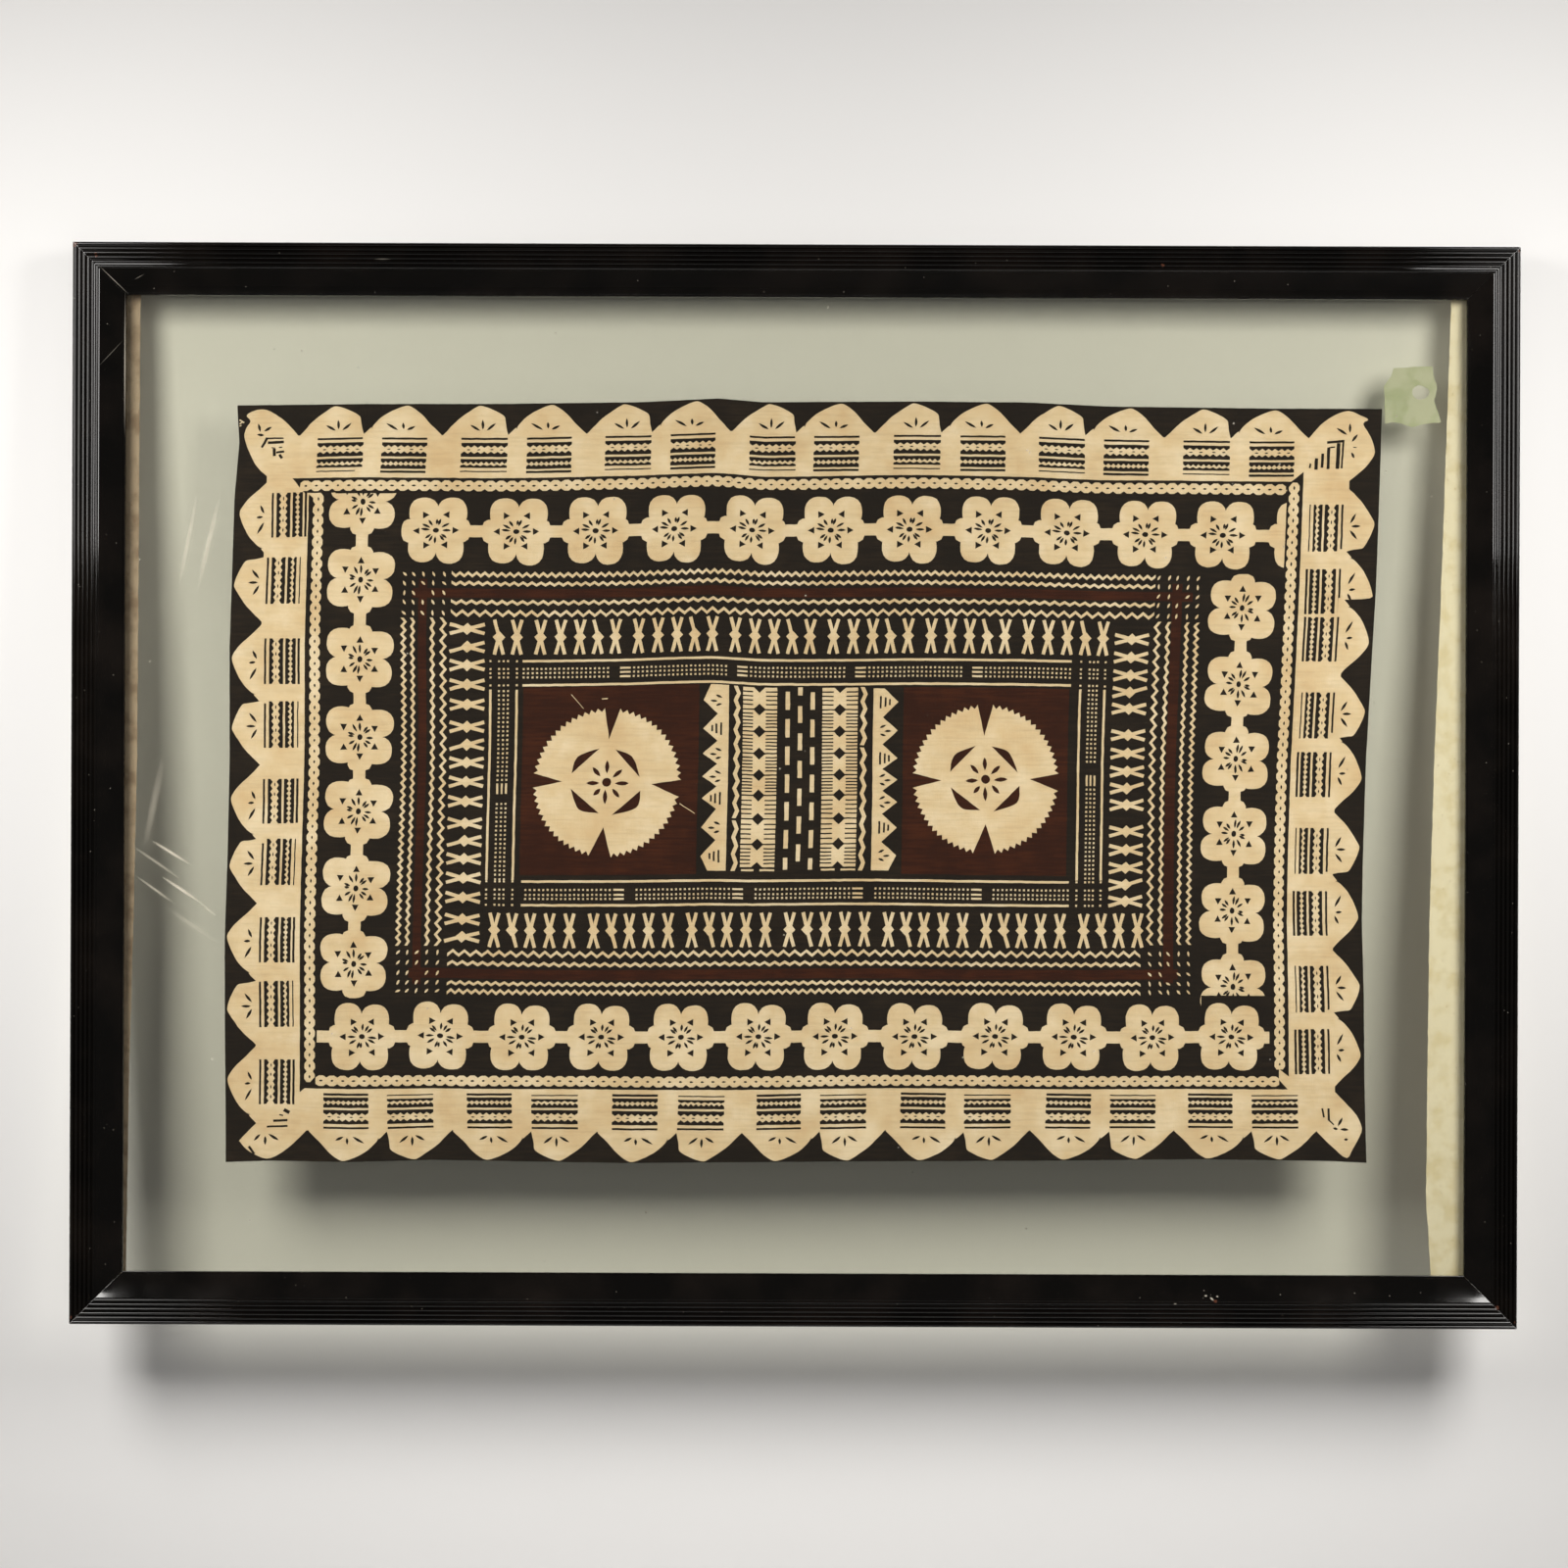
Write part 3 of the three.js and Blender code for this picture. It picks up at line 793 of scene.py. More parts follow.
# Scratches and pulled fibres that show pale through the paint, with their width.
WORN_LINES = [((-194, 73.5), (-183.5, 61.5), 0.45), ((-168.4, 69.4), (-163.5, 69.4), 0.9),
              ((-101.5, -18.2), (-88.9, -26.4), 0.6), ((-474.8, 303), (-471, 300.6), 1.2),
              ((-474.9, 299.4), (-472, 301.6), 1), ((-475, 297.6), (-473.4, 298.6), 0.9)]


def draw_chart():
    """The whole pattern, from the black edge to the middle."""
    chart = Chart()
    lay_border(chart)
    ground_width, ground_height = HALF_WIDTH - GROUND_DEPTH, HALF_HEIGHT - GROUND_DEPTH + 3
    chart.lay(bar(-ground_width, ground_width, -ground_height, ground_height), BLACK)
    lay_flower_rows(chart)
    lay_bead_strings(chart)
    lay_zigzags(chart)
    lay_corner_blocks(chart)
    lay_crosses(chart)
    lay_lines_and_dots(chart)
    lay_middle(chart)
    for start, end, width in WORN_LINES:
        chart.lay(stroke(start, end, width), BARK)
    return chart


# From the chart to the hanging cloth.


def bow(points, t):
    """How far a bowed edge stands out at a share of its length."""
    for (t0, out0), (t1, out1) in zip(points, points[1:]):
        if t <= t1:
            share = (t - t0) / (t1 - t0)
            return out0 + (out1 - out0) * share
    return points[-1][1]


# The waver of the hand-cut edges, fine and broad, by its size along the cloth. It fades near the edge.
FINE_WAVER = 4.5
BROAD_WAVER = 150
BROAD_WAVER_SHARE = 5
WAVER_FADE = 40


def on_cloth(u, v, settings):
    """Where a point of the chart lies on the cloth, in millimetres from the frame's centre."""
    wobble = settings.hand_wobble / MM
    fine = noise.noise_vector(Vector((u / FINE_WAVER, v / FINE_WAVER, 2))) * wobble
    broad = noise.noise_vector(Vector((u / BROAD_WAVER, v / BROAD_WAVER, 9))) * BROAD_WAVER_SHARE * wobble
    edge_distance = min(HALF_WIDTH - abs(u), HALF_HEIGHT - abs(v))
    hold = min(1, edge_distance / WAVER_FADE)
    u += fine.x * min(1, 0.5 + hold) + broad.x * hold
    v += fine.y * min(1, 0.5 + hold) + broad.y * hold
    a, b = (u + HALF_WIDTH) / (2 * HALF_WIDTH), (HALF_HEIGHT - v) / (2 * HALF_HEIGHT)
    top = CLOTH_CORNERS["top left"].lerp(CLOTH_CORNERS["top right"], a)
    low = CLOTH_CORNERS["bottom left"].lerp(CLOTH_CORNERS["bottom right"], a)
    point = top.lerp(low, b)
    a, b = min(max(a, 0), 1), min(max(b, 0), 1)
    point.y += bow(TOP_BOW, a) * (1 - b) ** 1.4 - bow(BOTTOM_BOW, 1 - a) * b**3
    point.x += bow(RIGHT_BOW, b) * a**4 - bow(LEFT_BOW, 1 - b) * (1 - a) ** 4
    return point


GRID_STEP = 10
CDT_TOLERANCE = 1e-5


def cut_in_triangles(shapes, grid_step):
    """Cuts overlapping shapes into triangles; each takes the surface of the last shape that covers it."""
    points = []
    loops = []
    for outline, _ in shapes:
        loops.append(list(range(len(points), len(points) + len(outline))))
        points += outline
    for i in range(1, int(2 * HALF_WIDTH / grid_step)):
        for j in range(1, int(2 * HALF_HEIGHT / grid_step)):
            points.append(Vector((i * grid_step - HALF_WIDTH, j * grid_step - HALF_HEIGHT)))
    made = geometry.delaunay_2d_cdt(points, [], loops, 1, CDT_TOLERANCE, True)
    corners, triangles, sources = made[0], made[2], made[5]
    surfaces = [shapes[max(source)][1] for source in sources]
    return corners, triangles, surfaces


def add_sheet_face(bm, shapes, grid_step, lift, settings):
    """One face of the sheet, lift in front of the middle of its thickness."""
    corners, triangles, surfaces = cut_in_triangles(shapes, grid_step)
    relief = settings.relief
    middle = (CLOTH_BOX[0].y + CLOTH_BOX[1].y) / 2
    verts = []
    for corner in corners:
        point = on_cloth(corner.x, corner.y, settings)
        swell = noise.noise(Vector((point.x / 70, point.y / 55, 4)))
        swell += 0.35 * noise.noise(Vector((point.x / 14, point.y / 30, 6)))
        place = (point.x * MM, middle - lift - relief * swell, (point.y + FRAME_CENTRE) * MM)
        verts.append(bm.verts.new(place))
    for triangle, surface in zip(triangles, surfaces):
        face = bm.faces.new([verts[i] for i in triangle])
        face.material_index = surface


def add_bark_cloth(settings):
    """The printed sheet: its front is cut along the pattern, its back is plain, and a rim closes them."""
    shapes = draw_chart().shapes
    bm = bmesh.new()
    half = settings.thickness / 2
    add_sheet_face(bm, shapes, GRID_STEP, half, settings)
    front_rim = [e for e in bm.edges if e.is_boundary]
    add_sheet_face(bm, [(shapes[0][0], BARK)], 2 * GRID_STEP, -half, settings)
    back_rim = [e for e in bm.edges if e.is_boundary and e not in set(front_rim)]
    rim = bmesh.ops.bridge_loops(bm, edges=front_rim + back_rim)["faces"]
    for face in rim:
        face.material_index = BARK
    bmesh.ops.recalc_face_normals(bm, faces=bm.faces)
    materials = [bark_material(settings), black_paint_material(settings), brown_paint_material(settings)]
    cloth = finish_mesh("stencilled_bark_cloth", bm, materials, sharp_angle=50)
    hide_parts("bark_cloth")
    return cloth


# Finishes of the cloth.

# Brown stains in the bark, as millimetres from the frame's centre, radius and strength.
STAINS = [(-165, 262, 5, 0.5), (-430, 22, 9, 0.45), (465, 224, 8, 0.6), (468, 180, 7, 0.5),
          (176, -226, 9, 0.35)]


def bark_texture(tree):
    """What the cloth's finishes share: the place on it, its mottling, fibres both ways and grain."""
    place = add_node(tree, "TexCoord").outputs["Object"]
    # Mottling of the beaten bark, patches about 30 mm across.
    mottle = add_node(tree, "TexNoise", {"Vector": place, "Scale": 32.0, "Detail": 6.0, "Roughness": 0.62})
    # Fibres along the sheet, 1.6 mm wide and 25 mm long, and others, 2.4 by 17 mm, across it at a slant.
    # The real ones are finer, and these are coarse enough to show.
    along = add_node(tree, "Mapping", {"Vector": place, "Scale": (40.0, 40.0, 620.0)})
    fibres = add_node(tree, "TexNoise", {"Vector": along.outputs[0], "Scale": 1.0, "Detail": 5.0})
    across = add_node(tree, "Mapping", {"Vector": place, "Rotation": (0, 0.5, 0), "Scale": (420, 1, 60)})
    cross_fibres = add_node(tree, "TexNoise", {"Vector": across.outputs[0], "Scale": 1.0, "Detail": 4.0})
    # The beater leaves a fine grain, 0.9 mm.
    grain = add_node(tree, "TexNoise", {"Vector": place, "Scale": 1100.0, "Detail": 2.0})
    return place, *(made.outputs["Fac"] for made in (mottle, fibres, cross_fibres, grain))


def cloth_bump(tree, fibres, cross_fibres, grain, strength):
    """Fibres and grain stand out of the surface by a tenth of a millimetre or so."""
    both = add_node(tree, "Math", {0: fibres, 1: cross_fibres}, operation="ADD").outputs[0]
    height = add_node(tree, "Math", {0: grain, 1: 0.5, 2: both}, operation="MULTIPLY_ADD").outputs[0]
    return add_node(tree, "Bump", {"Height": height, "Strength": strength, "Distance": 0.0004}).outputs[0]


def spot_mask(tree, place, centre, ragged, push, fade, strength):
    """A spot round a point: a noise pushes its edge about, and it fades out between two distances."""
    away = add_node(tree, "VectorMath", {0: place, 1: centre}, operation="DISTANCE").outputs["Value"]
    edge = add_node(tree, "Math", {0: ragged, 1: push, 2: away}, operation="MULTIPLY_ADD").outputs[0]
    inputs = {0: edge, "From Min": fade[0], "From Max": fade[1], "To Min": strength, "To Max": 0.0}
    return add_node(tree, "MapRange", inputs).outputs[0]


def marks_mask(tree, place, marks, speck_scale, speck_fade, speck_strength):
    """Specks, and slanting marks that are strongest in their middle and reach through all depths."""
    specks = add_node(tree, "TexVoronoi", {"Vector": place, "Scale": speck_scale}).outputs["Distance"]
    near, far = speck_fade
    inputs = {0: specks, "From Min": near, "From Max": far, "To Min": speck_strength, "To Max": 0.0}
    mask = add_node(tree, "MapRange", inputs).outputs[0]
    for x, z, slope, half_length, half_width, strength in marks:
        turned = {"Vector": place, "Location": (x * MM, 0, (z + FRAME_CENTRE) * MM),
                  "Rotation": (0, math.radians(slope), 0), "Scale": (half_length * MM, 1, half_width * MM)}
        along = add_node(tree, "Mapping", turned, vector_type="TEXTURE").outputs[0]
        flat = add_node(tree, "VectorMath", {0: along, 1: (1, 0, 1)}, operation="MULTIPLY").outputs[0]
        reach = add_node(tree, "VectorMath", {0: flat}, operation="LENGTH").outputs["Value"]
        inputs = {0: reach, "From Min": 0.1, "From Max": 1.0, "To Min": strength, "To Max": 0.0}
        mark = add_node(tree, "MapRange", inputs).outputs[0]
        mask = add_node(tree, "Math", {0: mask, 1: mark}, operation="MAXIMUM").outputs[0]
    return mask


def bark_material(settings):
    """Inner bark beaten into a sheet: dry, matt and fibrous, mottled cream with brown stains."""
    material, tree = new_material("beaten_inner_bark")
    place, mottle, fibres, cross_fibres, grain = bark_texture(tree)
    shades = [(0.3, settings.bark_dark), (0.5, settings.bark), (0.68, settings.bark_light)]
    patches = add_node(tree, "ValToRGB", {"Fac": mottle}, shades).outputs[0]
    streaks = add_node(tree, "ValToRGB", {"Fac": fibres}, [(0.32, grey(0.8)), (0.55, grey(1.0))]).outputs[0]
    inputs = {0: 0.45, 6: patches, 7: streaks}
    colour = add_node(tree, "Mix", inputs, data_type="RGBA", blend_type="MULTIPLY").outputs[2]
    for x, z, radius, strength in STAINS:
        centre, reach = (x * MM, 0, (z + FRAME_CENTRE) * MM), radius * MM
        mask = spot_mask(tree, place, centre, mottle, -reach, (0.0, reach * 0.7), strength)
        colour = add_node(tree, "Mix", {0: mask, 6: colour, 7: settings.stain}, data_type="RGBA").outputs[2]
    bump = cloth_bump(tree, fibres, cross_fibres, grain, 0.5)
    inputs = {"Base Color": colour, "Roughness": 0.88, "Specular IOR Level": 0.25, "Normal": bump}
    shader = add_node(tree, "BsdfPrincipled", inputs)
    add_node(tree, "OutputMaterial", {"Surface": shader.outputs[0]})
    return material


def paint_material(name, colour, worn, roughness, wear):
    """Stencil paint rubbed into bark: it dries matt, and the fibres show through where it is thin."""
    material, tree = new_material(name)
    _, mottle, fibres, cross_fibres, grain = bark_texture(tree)
    thin = add_node(tree, "Math", {0: mottle, 1: fibres}, operation="MULTIPLY").outputs[0]
    inputs = {0: thin, "From Min": 0.2, "From Max": 0.42, "To Min": 0.0, "To Max": wear}
    cover = add_node(tree, "MapRange", inputs).outputs[0]
    mixed = add_node(tree, "Mix", {0: cover, 6: colour, 7: worn}, data_type="RGBA").outputs[2]
    bump = cloth_bump(tree, fibres, cross_fibres, grain, 0.4)
    inputs = {"Base Color": mixed, "Roughness": roughness, "Specular IOR Level": 0.12, "Normal": bump}
    shader = add_node(tree, "BsdfPrincipled", inputs)
    add_node(tree, "OutputMaterial", {"Surface": shader.outputs[0]})
    return material


def black_paint_material(settings):
    """Soot paint: warm black, almost even."""
    return paint_material("soot_black_stencil_paint", settings.black_paint, settings.black_worn, 0.75, 0.9)


def brown_paint_material(settings):
    """Bark dye: dark red-brown, cloudy where it soaked in unevenly."""
    return paint_material("dark_brown_bark_dye", settings.brown_paint, settings.brown_worn, 0.7, 1.0)


# The frame's moulding.

OUTER_WALL_DEPTH = 21
REED_COUNT = 6
REED_PITCH = 3.7
REED_SIDES = 10
REED_RELIEF = 1.3
REED_CREST_DROP = 1.6
FACE_OUTER_DEPTH = 24.8
FACE_INNER_DEPTH = 19.2
LIP_WIDTH = 1.6
LIP_DEPTH = 18.6
LIP_ROUNDING = [(LIP_WIDTH, 0), (0.5, 0), (0.1, 0.2), (0, 0.6)]
REBATE_WIDTH = 7
SHOULDER_DEPTH = 14.3
MITRE_GAP = 0.3
RAILS = {
    "rail_top": (FRAME_WIDTH, 0, 0, FRAME_TOP),
    "rail_right": (FRAME_HEIGHT, 90, FRAME_WIDTH / 2, FRAME_CENTRE),
    "rail_bottom": (FRAME_WIDTH, 180, 0, FRAME_TOP - FRAME_HEIGHT),
    "rail_left": (FRAME_HEIGHT, -90, -FRAME_WIDTH / 2, FRAME_CENTRE),
}


def moulding_section():
    """Half round reeds from the outer edge in, a face that slopes to the lip, and the rebate behind it."""
    back_width = RAIL_WIDTH - REBATE_WIDTH
    section = [(0, 0), (0, OUTER_WALL_DEPTH)]
    for reed in range(REED_COUNT):
        turned = 1 - reed / (REED_COUNT - 1)
        crest = FRAME_DEPTH - REED_CREST_DROP * turned**2
        for side in range(REED_SIDES + 1):
            across = side / REED_SIDES
            rise = math.sin(math.pi * across)
            section.append((REED_PITCH * (reed + 0.05 + 0.9 * across), crest - REED_RELIEF * (1 - rise)))
    face_start, face_end = REED_PITCH * REED_COUNT + 0.3, RAIL_WIDTH - LIP_WIDTH - 0.4
    for step in range(7):
        t = step / 6
        sag = 0.5 * math.sin(math.pi * t)
        depth = FACE_OUTER_DEPTH + (FACE_INNER_DEPTH - FACE_OUTER_DEPTH) * t - sag
        section.append((face_start + (face_end - face_start) * t, depth))
    section += [(RAIL_WIDTH - back, LIP_DEPTH - drop) for back, drop in LIP_ROUNDING]
    return [*section, (RAIL_WIDTH, SHOULDER_DEPTH), (back_width, SHOULDER_DEPTH), (back_width, 0)]


def add_rail(node, lacquer):
    """One mitred length of moulding in place of the plain solid."""
    length, turn, x, z = RAILS[node]
    bm = bmesh.new()
    section = [bm.verts.new((inward, height, 0)) for inward, height in moulding_section()]
    end = bm.faces.new(section)
    bmesh.ops.extrude_face_region(bm, geom=[end])
    bmesh.ops.translate(bm, verts=[v for v in bm.verts if v not in set(section)], vec=(0, 0, 1))
    c, s = math.cos(math.radians(turn)), math.sin(math.radians(turn))
    for vert in bm.verts:
        inward, height, far = vert.co
        along = (1 - 2 * far) * (length / 2 - inward - MITRE_GAP / 2)
        vert.co = Vector((x + along * c - inward * s, -height, z - along * s - inward * c)) * MM
    bmesh.ops.recalc_face_normals(bm, faces=bm.faces)
    rail = finish_mesh(f"reeded_{node}", bm, [lacquer], sharp_angle=32)
    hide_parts(node)
    return rail


# Chips that show the bare wood: their place in millimetres from the frame's centre, and their radius.
CHIPS = [(-599, 446, 3), (-580, 437, 1.6), (-565, -299, 1.4), (-568, -368, 1.6), (350, -425, 1.6),
         (583, -430, 1.6), (303, 432, 1.3), (598, 444, 1.8), (-598, -443, 1.8), (597, -443, 1.6)]


# Scratches, pale chips, and the pale line down the upper left lip, which is painted highlight of the rounded
# lip
# over its worn lacquer: middle in millimetres from the frame's centre, slope in degrees, half the length,
# half the width, and strength.
# The second mark is the line down the left lip: painted highlight along with the wear.
SCRATCHES_AND_LIP_HIGHLIGHT = [(-566.1, 417.1, 44, 18, 0.5, 0.4), (-557, 348, 90, 62, 0.7, 0.55),
             (-568.3, 356, -49, 15.5, 0.4, 0.2), (-544.7, 419.5, -27, 5, 0.4, 0.25),
             (-343, 434.6, 0, 8, 0.6, 0.25), (342, -421.5, 0, 1.4, 0.9, 0.8),
             (347, -424, 40, 2.2, 1, 0.8), (351.5, -422, 0, 1.2, 0.8, 0.7),
             (316.4, -427.9, 0, 1.4, 0.6, 0.6)]


def lacquer_material(settings):
    """Black lacquer on wood: deep gloss, a little dust and rubbing, a painted highlight down the upper left
    lip, chips down to the red-brown wood.
    """
    material, tree = new_material("black_lacquer_on_wood")
    place = add_node(tree, "TexCoord").outputs["Object"]
    # Rubbed patches some 60 mm long.
    haze = add_node(tree, "TexNoise", {"Vector": place, "Scale": 18.0, "Detail": 5.0}).outputs["Fac"]
    shades = [(0.42, settings.lacquer), (0.75, settings.lacquer_rubbed)]
    rubbed = add_node(tree, "ValToRGB", {"Fac": haze}, shades).outputs[0]
    # Specks of dust under 1 mm, one to every 11 mm.
    marks = marks_mask(tree, place, SCRATCHES_AND_LIP_HIGHLIGHT, 90.0, (0.02, 0.045), 0.35)
    # The marks take the dust colour. On the left lip this is painted highlight as well as wear.
    colour = add_node(tree, "Mix", {0: marks, 6: rubbed, 7: settings.dust}, data_type="RGBA").outputs[2]
    # The chips' ragged edge, in notches of 2 to 3 mm.
    edge = add_node(tree, "TexNoise", {"Vector": place, "Scale": 420.0, "Detail": 3.0}).outputs["Fac"]
    for x, z, radius in CHIPS:
        centre, reach = (x * MM, -FRAME_DEPTH * MM, (z + FRAME_CENTRE) * MM), radius * MM
        chip = spot_mask(tree, place, centre, edge, reach * 2.2, (reach * 2, reach * 2.4), 1.0)
        inputs = {0: chip, 6: colour, 7: settings.bare_wood}
        colour = add_node(tree, "Mix", inputs, data_type="RGBA").outputs[2]
    inputs = {0: haze, "From Min": 0.35, "From Max": 0.75, "To Min": 0.03, "To Max": 0.1}
    roughness = add_node(tree, "MapRange", inputs).outputs[0]
    bump = add_node(tree, "Bump", {"Height": haze, "Strength": 0.03, "Distance": 0.001}).outputs[0]
    inputs = {"Base Color": colour, "Roughness": roughness, "IOR": 1.5, "Normal": bump}
    shader = add_node(tree, "BsdfPrincipled", inputs)
    add_node(tree, "OutputMaterial", {"Surface": shader.outputs[0]})
    return material


# The panes.

# Rub marks on the front pane, listed as the lacquer's marks are.
SCUFFS = [(-518, -57.6, 31.6, 20, 1.6, 0.6), (-530.6, -65.5, 34.4, 27, 1.5, 0.22),
          (-509, -88.6, 33.7, 21, 1.6, 0.65), (-531, -88.6, 35.6, 21, 1.4, 0.3),
          (-487, -104.7, 41.6, 11, 1.4, 0.2), (-532.4, -16.1, -78.9, 44, 4, 0.12),
          (-505, 201, -79, 42, 2.6, 0.22), (-487.5, 201, -77, 42, 3, 0.26), (-500, -118, 34, 30, 3, 0.1)]


def glass_material(name, settings, scuffed):
    """Clear float glass: a faint green cast, a thin reflection, and in front some dust and rubbing."""
    material, tree = new_material(name)
    clear = add_node(tree, "BsdfTransparent", {"Color": settings.glass_tint}).outputs[0]
    gloss = add_node(tree, "BsdfGlossy", {"Color": grey(1.0), "Roughness": 0.04}).outputs[0]
    # The reflection of glass of IOR 1.5: 4 % face on, and all of the light along the surface.
    facing = add_node(tree, "LayerWeight", {"Blend": 0.5}).outputs["Facing"]
    steep = add_node(tree, "Math", {0: facing, 1: 5.0}, operation="POWER").outputs[0]
    share = add_node(tree, "Math", {0: steep, 1: 0.96, 2: 0.04}, operation="MULTIPLY_ADD").outputs[0]
    surface = add_node(tree, "MixShader", {0: share, 1: clear, 2: gloss}).outputs[0]
    if scuffed:
        place = add_node(tree, "TexCoord").outputs["Object"]
        # Specks of dust 1 mm across, one to every 38 mm.
        scuffs = marks_mask(tree, place, SCUFFS, 26.0, (0.012, 0.03), 0.5)
        dust = add_node(tree, "BsdfDiffuse", {"Color": settings.dust}).outputs[0]
        surface = add_node(tree, "MixShader", {0: scuffs, 1: surface, 2: dust}).outputs[0]
    add_node(tree, "OutputMaterial", {"Surface": surface})
    return material


def fit_panes(settings):
    """The two panes keep their own solids and get their finish."""
    for node, scuffed in (("front_glass", True), ("rear_glass", False)):
        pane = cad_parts[node]
        pane.data.materials.clear()
        pane.data.materials.append(glass_material(f"clear_float_glass_{node}", settings, scuffed))


# Old paper behind the rear pane.

# How far each strip shows beside the rail: heights from the frame's centre, and widths in sight.
LEFT_STRIP_SHOWS = [(412, 10.6), (150, 9.6), (19, 9), (-112, 6.5), (-243, 3.3), (-412, 1.2)]
RIGHT_STRIP_SHOWS = [(412, 11.5), (330, 13.9), (281, 15.5), (150, 19.7), (19, 24.6), (-112, 27.9),
                     (-243, 29.1), (-341, 29.9), (-412, 25.5)]
SCRAP_OUTLINE = [(497, 349), (529, 351), (530, 342), (534, 333), (531, 322), (537, 304), (524, 303),
                 (513, 300), (501, 304), (490, 303), (489, 334), (495, 342)]
SCRAP_HOLE = (519.5, 329, 7, 5.5)
PAPER_THICKNESS = 0.4


def torn(points, size, seed):
    """The outline of torn paper: the long edges are divided and made ragged."""
    ragged = []
    for here, there in zip(points, points[1:] + points[:1]):
        here, there = Vector(here), Vector(there)
        parts = max(1, round((there - here).length / 3))
        for part in range(parts):
            point = here.lerp(there, part / parts)
            waver = noise.noise_vector(Vector((point.x / 6, point.y / 6, seed))).xy * size
            ragged.append(point + waver)
    return ragged


def add_paper(name, node, outline, hole, material):
    """A flat piece of paper against the rear pane's back."""
    loops = [list(range(len(outline)))]
    points = anticlockwise(outline)
    if hole:
        loops.append(list(range(len(points), len(points) + len(hole))))
        points = points + anticlockwise(hole)
    made = geometry.delaunay_2d_cdt(points, [], loops, 1, CDT_TOLERANCE, True)
    front = PAPER_BOX[0].y
    bm = bmesh.new()
    verts = [bm.verts.new((p.x * MM, front, (p.y + FRAME_CENTRE) * MM)) for p in made[0]]
    for triangle, sources in zip(made[2], made[5]):
        if list(sources) == [0]:
            bm.faces.new([verts[i] for i in triangle])
    bmesh.ops.delete(bm, geom=[v for v in bm.verts if not v.link_faces], context="VERTS")
    extruded = bmesh.ops.extrude_face_region(bm, geom=bm.faces[:])
    moved = [v for v in extruded["geom"] if isinstance(v, bmesh.types.BMVert)]
    bmesh.ops.translate(bm, verts=moved, vec=(0, PAPER_THICKNESS * MM, 0))
    bmesh.ops.recalc_face_normals(bm, faces=bm.faces)
    piece = finish_mesh(name, bm, [material], sharp_angle=40)
    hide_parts(node)
    return piece


def paper_material(name, colour, dark, darkest):
    """Old gummed paper: matt, with brown foxing and a few darker flecks."""
    material, tree = new_material(name)
    place = add_node(tree, "TexCoord").outputs["Object"]
    # Foxing, patches about 12 mm across.
    foxing = add_node(tree, "TexNoise", {"Vector": place, "Scale": 80.0, "Detail": 5.0}).outputs["Fac"]
    patches = add_node(tree, "ValToRGB", {"Fac": foxing}, [(0.35, dark), (0.55, colour)]).outputs[0]
    # Flecks under 1 mm, one to every 7 mm.
    fleck = add_node(tree, "TexVoronoi", {"Vector": place, "Scale": 150.0}).outputs["Distance"]
    inputs = {0: fleck, "From Min": 0.05, "From Max": 0.12, "To Min": 0.5, "To Max": 0.0}
    flecks = add_node(tree, "MapRange", inputs).outputs[0]
    mixed = add_node(tree, "Mix", {0: flecks, 6: patches, 7: darkest}, data_type="RGBA").outputs[2]
    bump = add_node(tree, "Bump", {"Height": foxing, "Strength": 0.3, "Distance": 0.0005}).outputs[0]
    inputs = {"Base Color": mixed, "Roughness": 0.85, "Specular IOR Level": 0.3, "Normal": bump}
    shader = add_node(tree, "BsdfPrincipled", inputs)
    add_node(tree, "OutputMaterial", {"Surface": shader.outputs[0]})
    return material


def strip_outline(shows, side):
    """A strip from under the rail to its uneven edge in sight."""
    outer = PAPER_BOX[1].x / MM
    edge = [(side * (SIGHT_HALF_WIDTH - shown), height) for height, shown in shows]
    top = PAPER_BOX[1].z / MM - FRAME_CENTRE
    low = PAPER_BOX[0].z / MM - FRAME_CENTRE
    return [(side * outer, low), (side * outer, top), (edge[0][0], top), *edge[1:-1], (edge[-1][0], low)]


def add_papers(settings):
    """The strips down both sides and the torn scrap."""
    glue = settings.stain
    cream = paper_material("old_cream_paper", settings.paper, settings.paper_dark, glue)
    brown = paper_material("old_brown_paper", settings.paper_brown, settings.paper_brown_dark, glue)
    green_light, green_dark = settings.green_paper, settings.green_paper_dark
    green = paper_material("thin_green_paper", green_light, green_dark, green_light)
    strips = (("left", LEFT_STRIP_SHOWS, -1, brown), ("right", RIGHT_STRIP_SHOWS, 1, cream))
    for side, shows, way, material in strips:
        outline = torn(strip_outline(shows, way), 0.5, 3)
        add_paper(f"old_{side}_paper_strip", f"paper_strip_{side}", outline, None, material)
    hole = torn(disc(*SCRAP_HOLE, sides=14), 1.2, 5)
    add_paper("torn_green_scrap", "paper_scrap", torn(SCRAP_OUTLINE, 1.2, 8), hole, green)


# The stage.

CAMERA_DISTANCE = 3.5
SENSOR_WIDTH = 36
PHOTO_PIXELS = 1600
PHOTO_SCALE = 0.8112 * MM
VIEW_WIDTH = PHOTO_PIXELS * PHOTO_SCALE
FRAME_CENTRE_PIXEL = (811.1, 801.5)
CAMERA_ROLL = -0.21
# The backdrop stands this far behind the frame at its top and its bottom edge.
BACKDROP_GAPS = (0.017, 0.076)
BACKDROP_TOP = 1.0
STAGE_HALF_WIDTH = 3.0
FLOOR_DROP = 0.9
FLOOR_REACH = 4.5

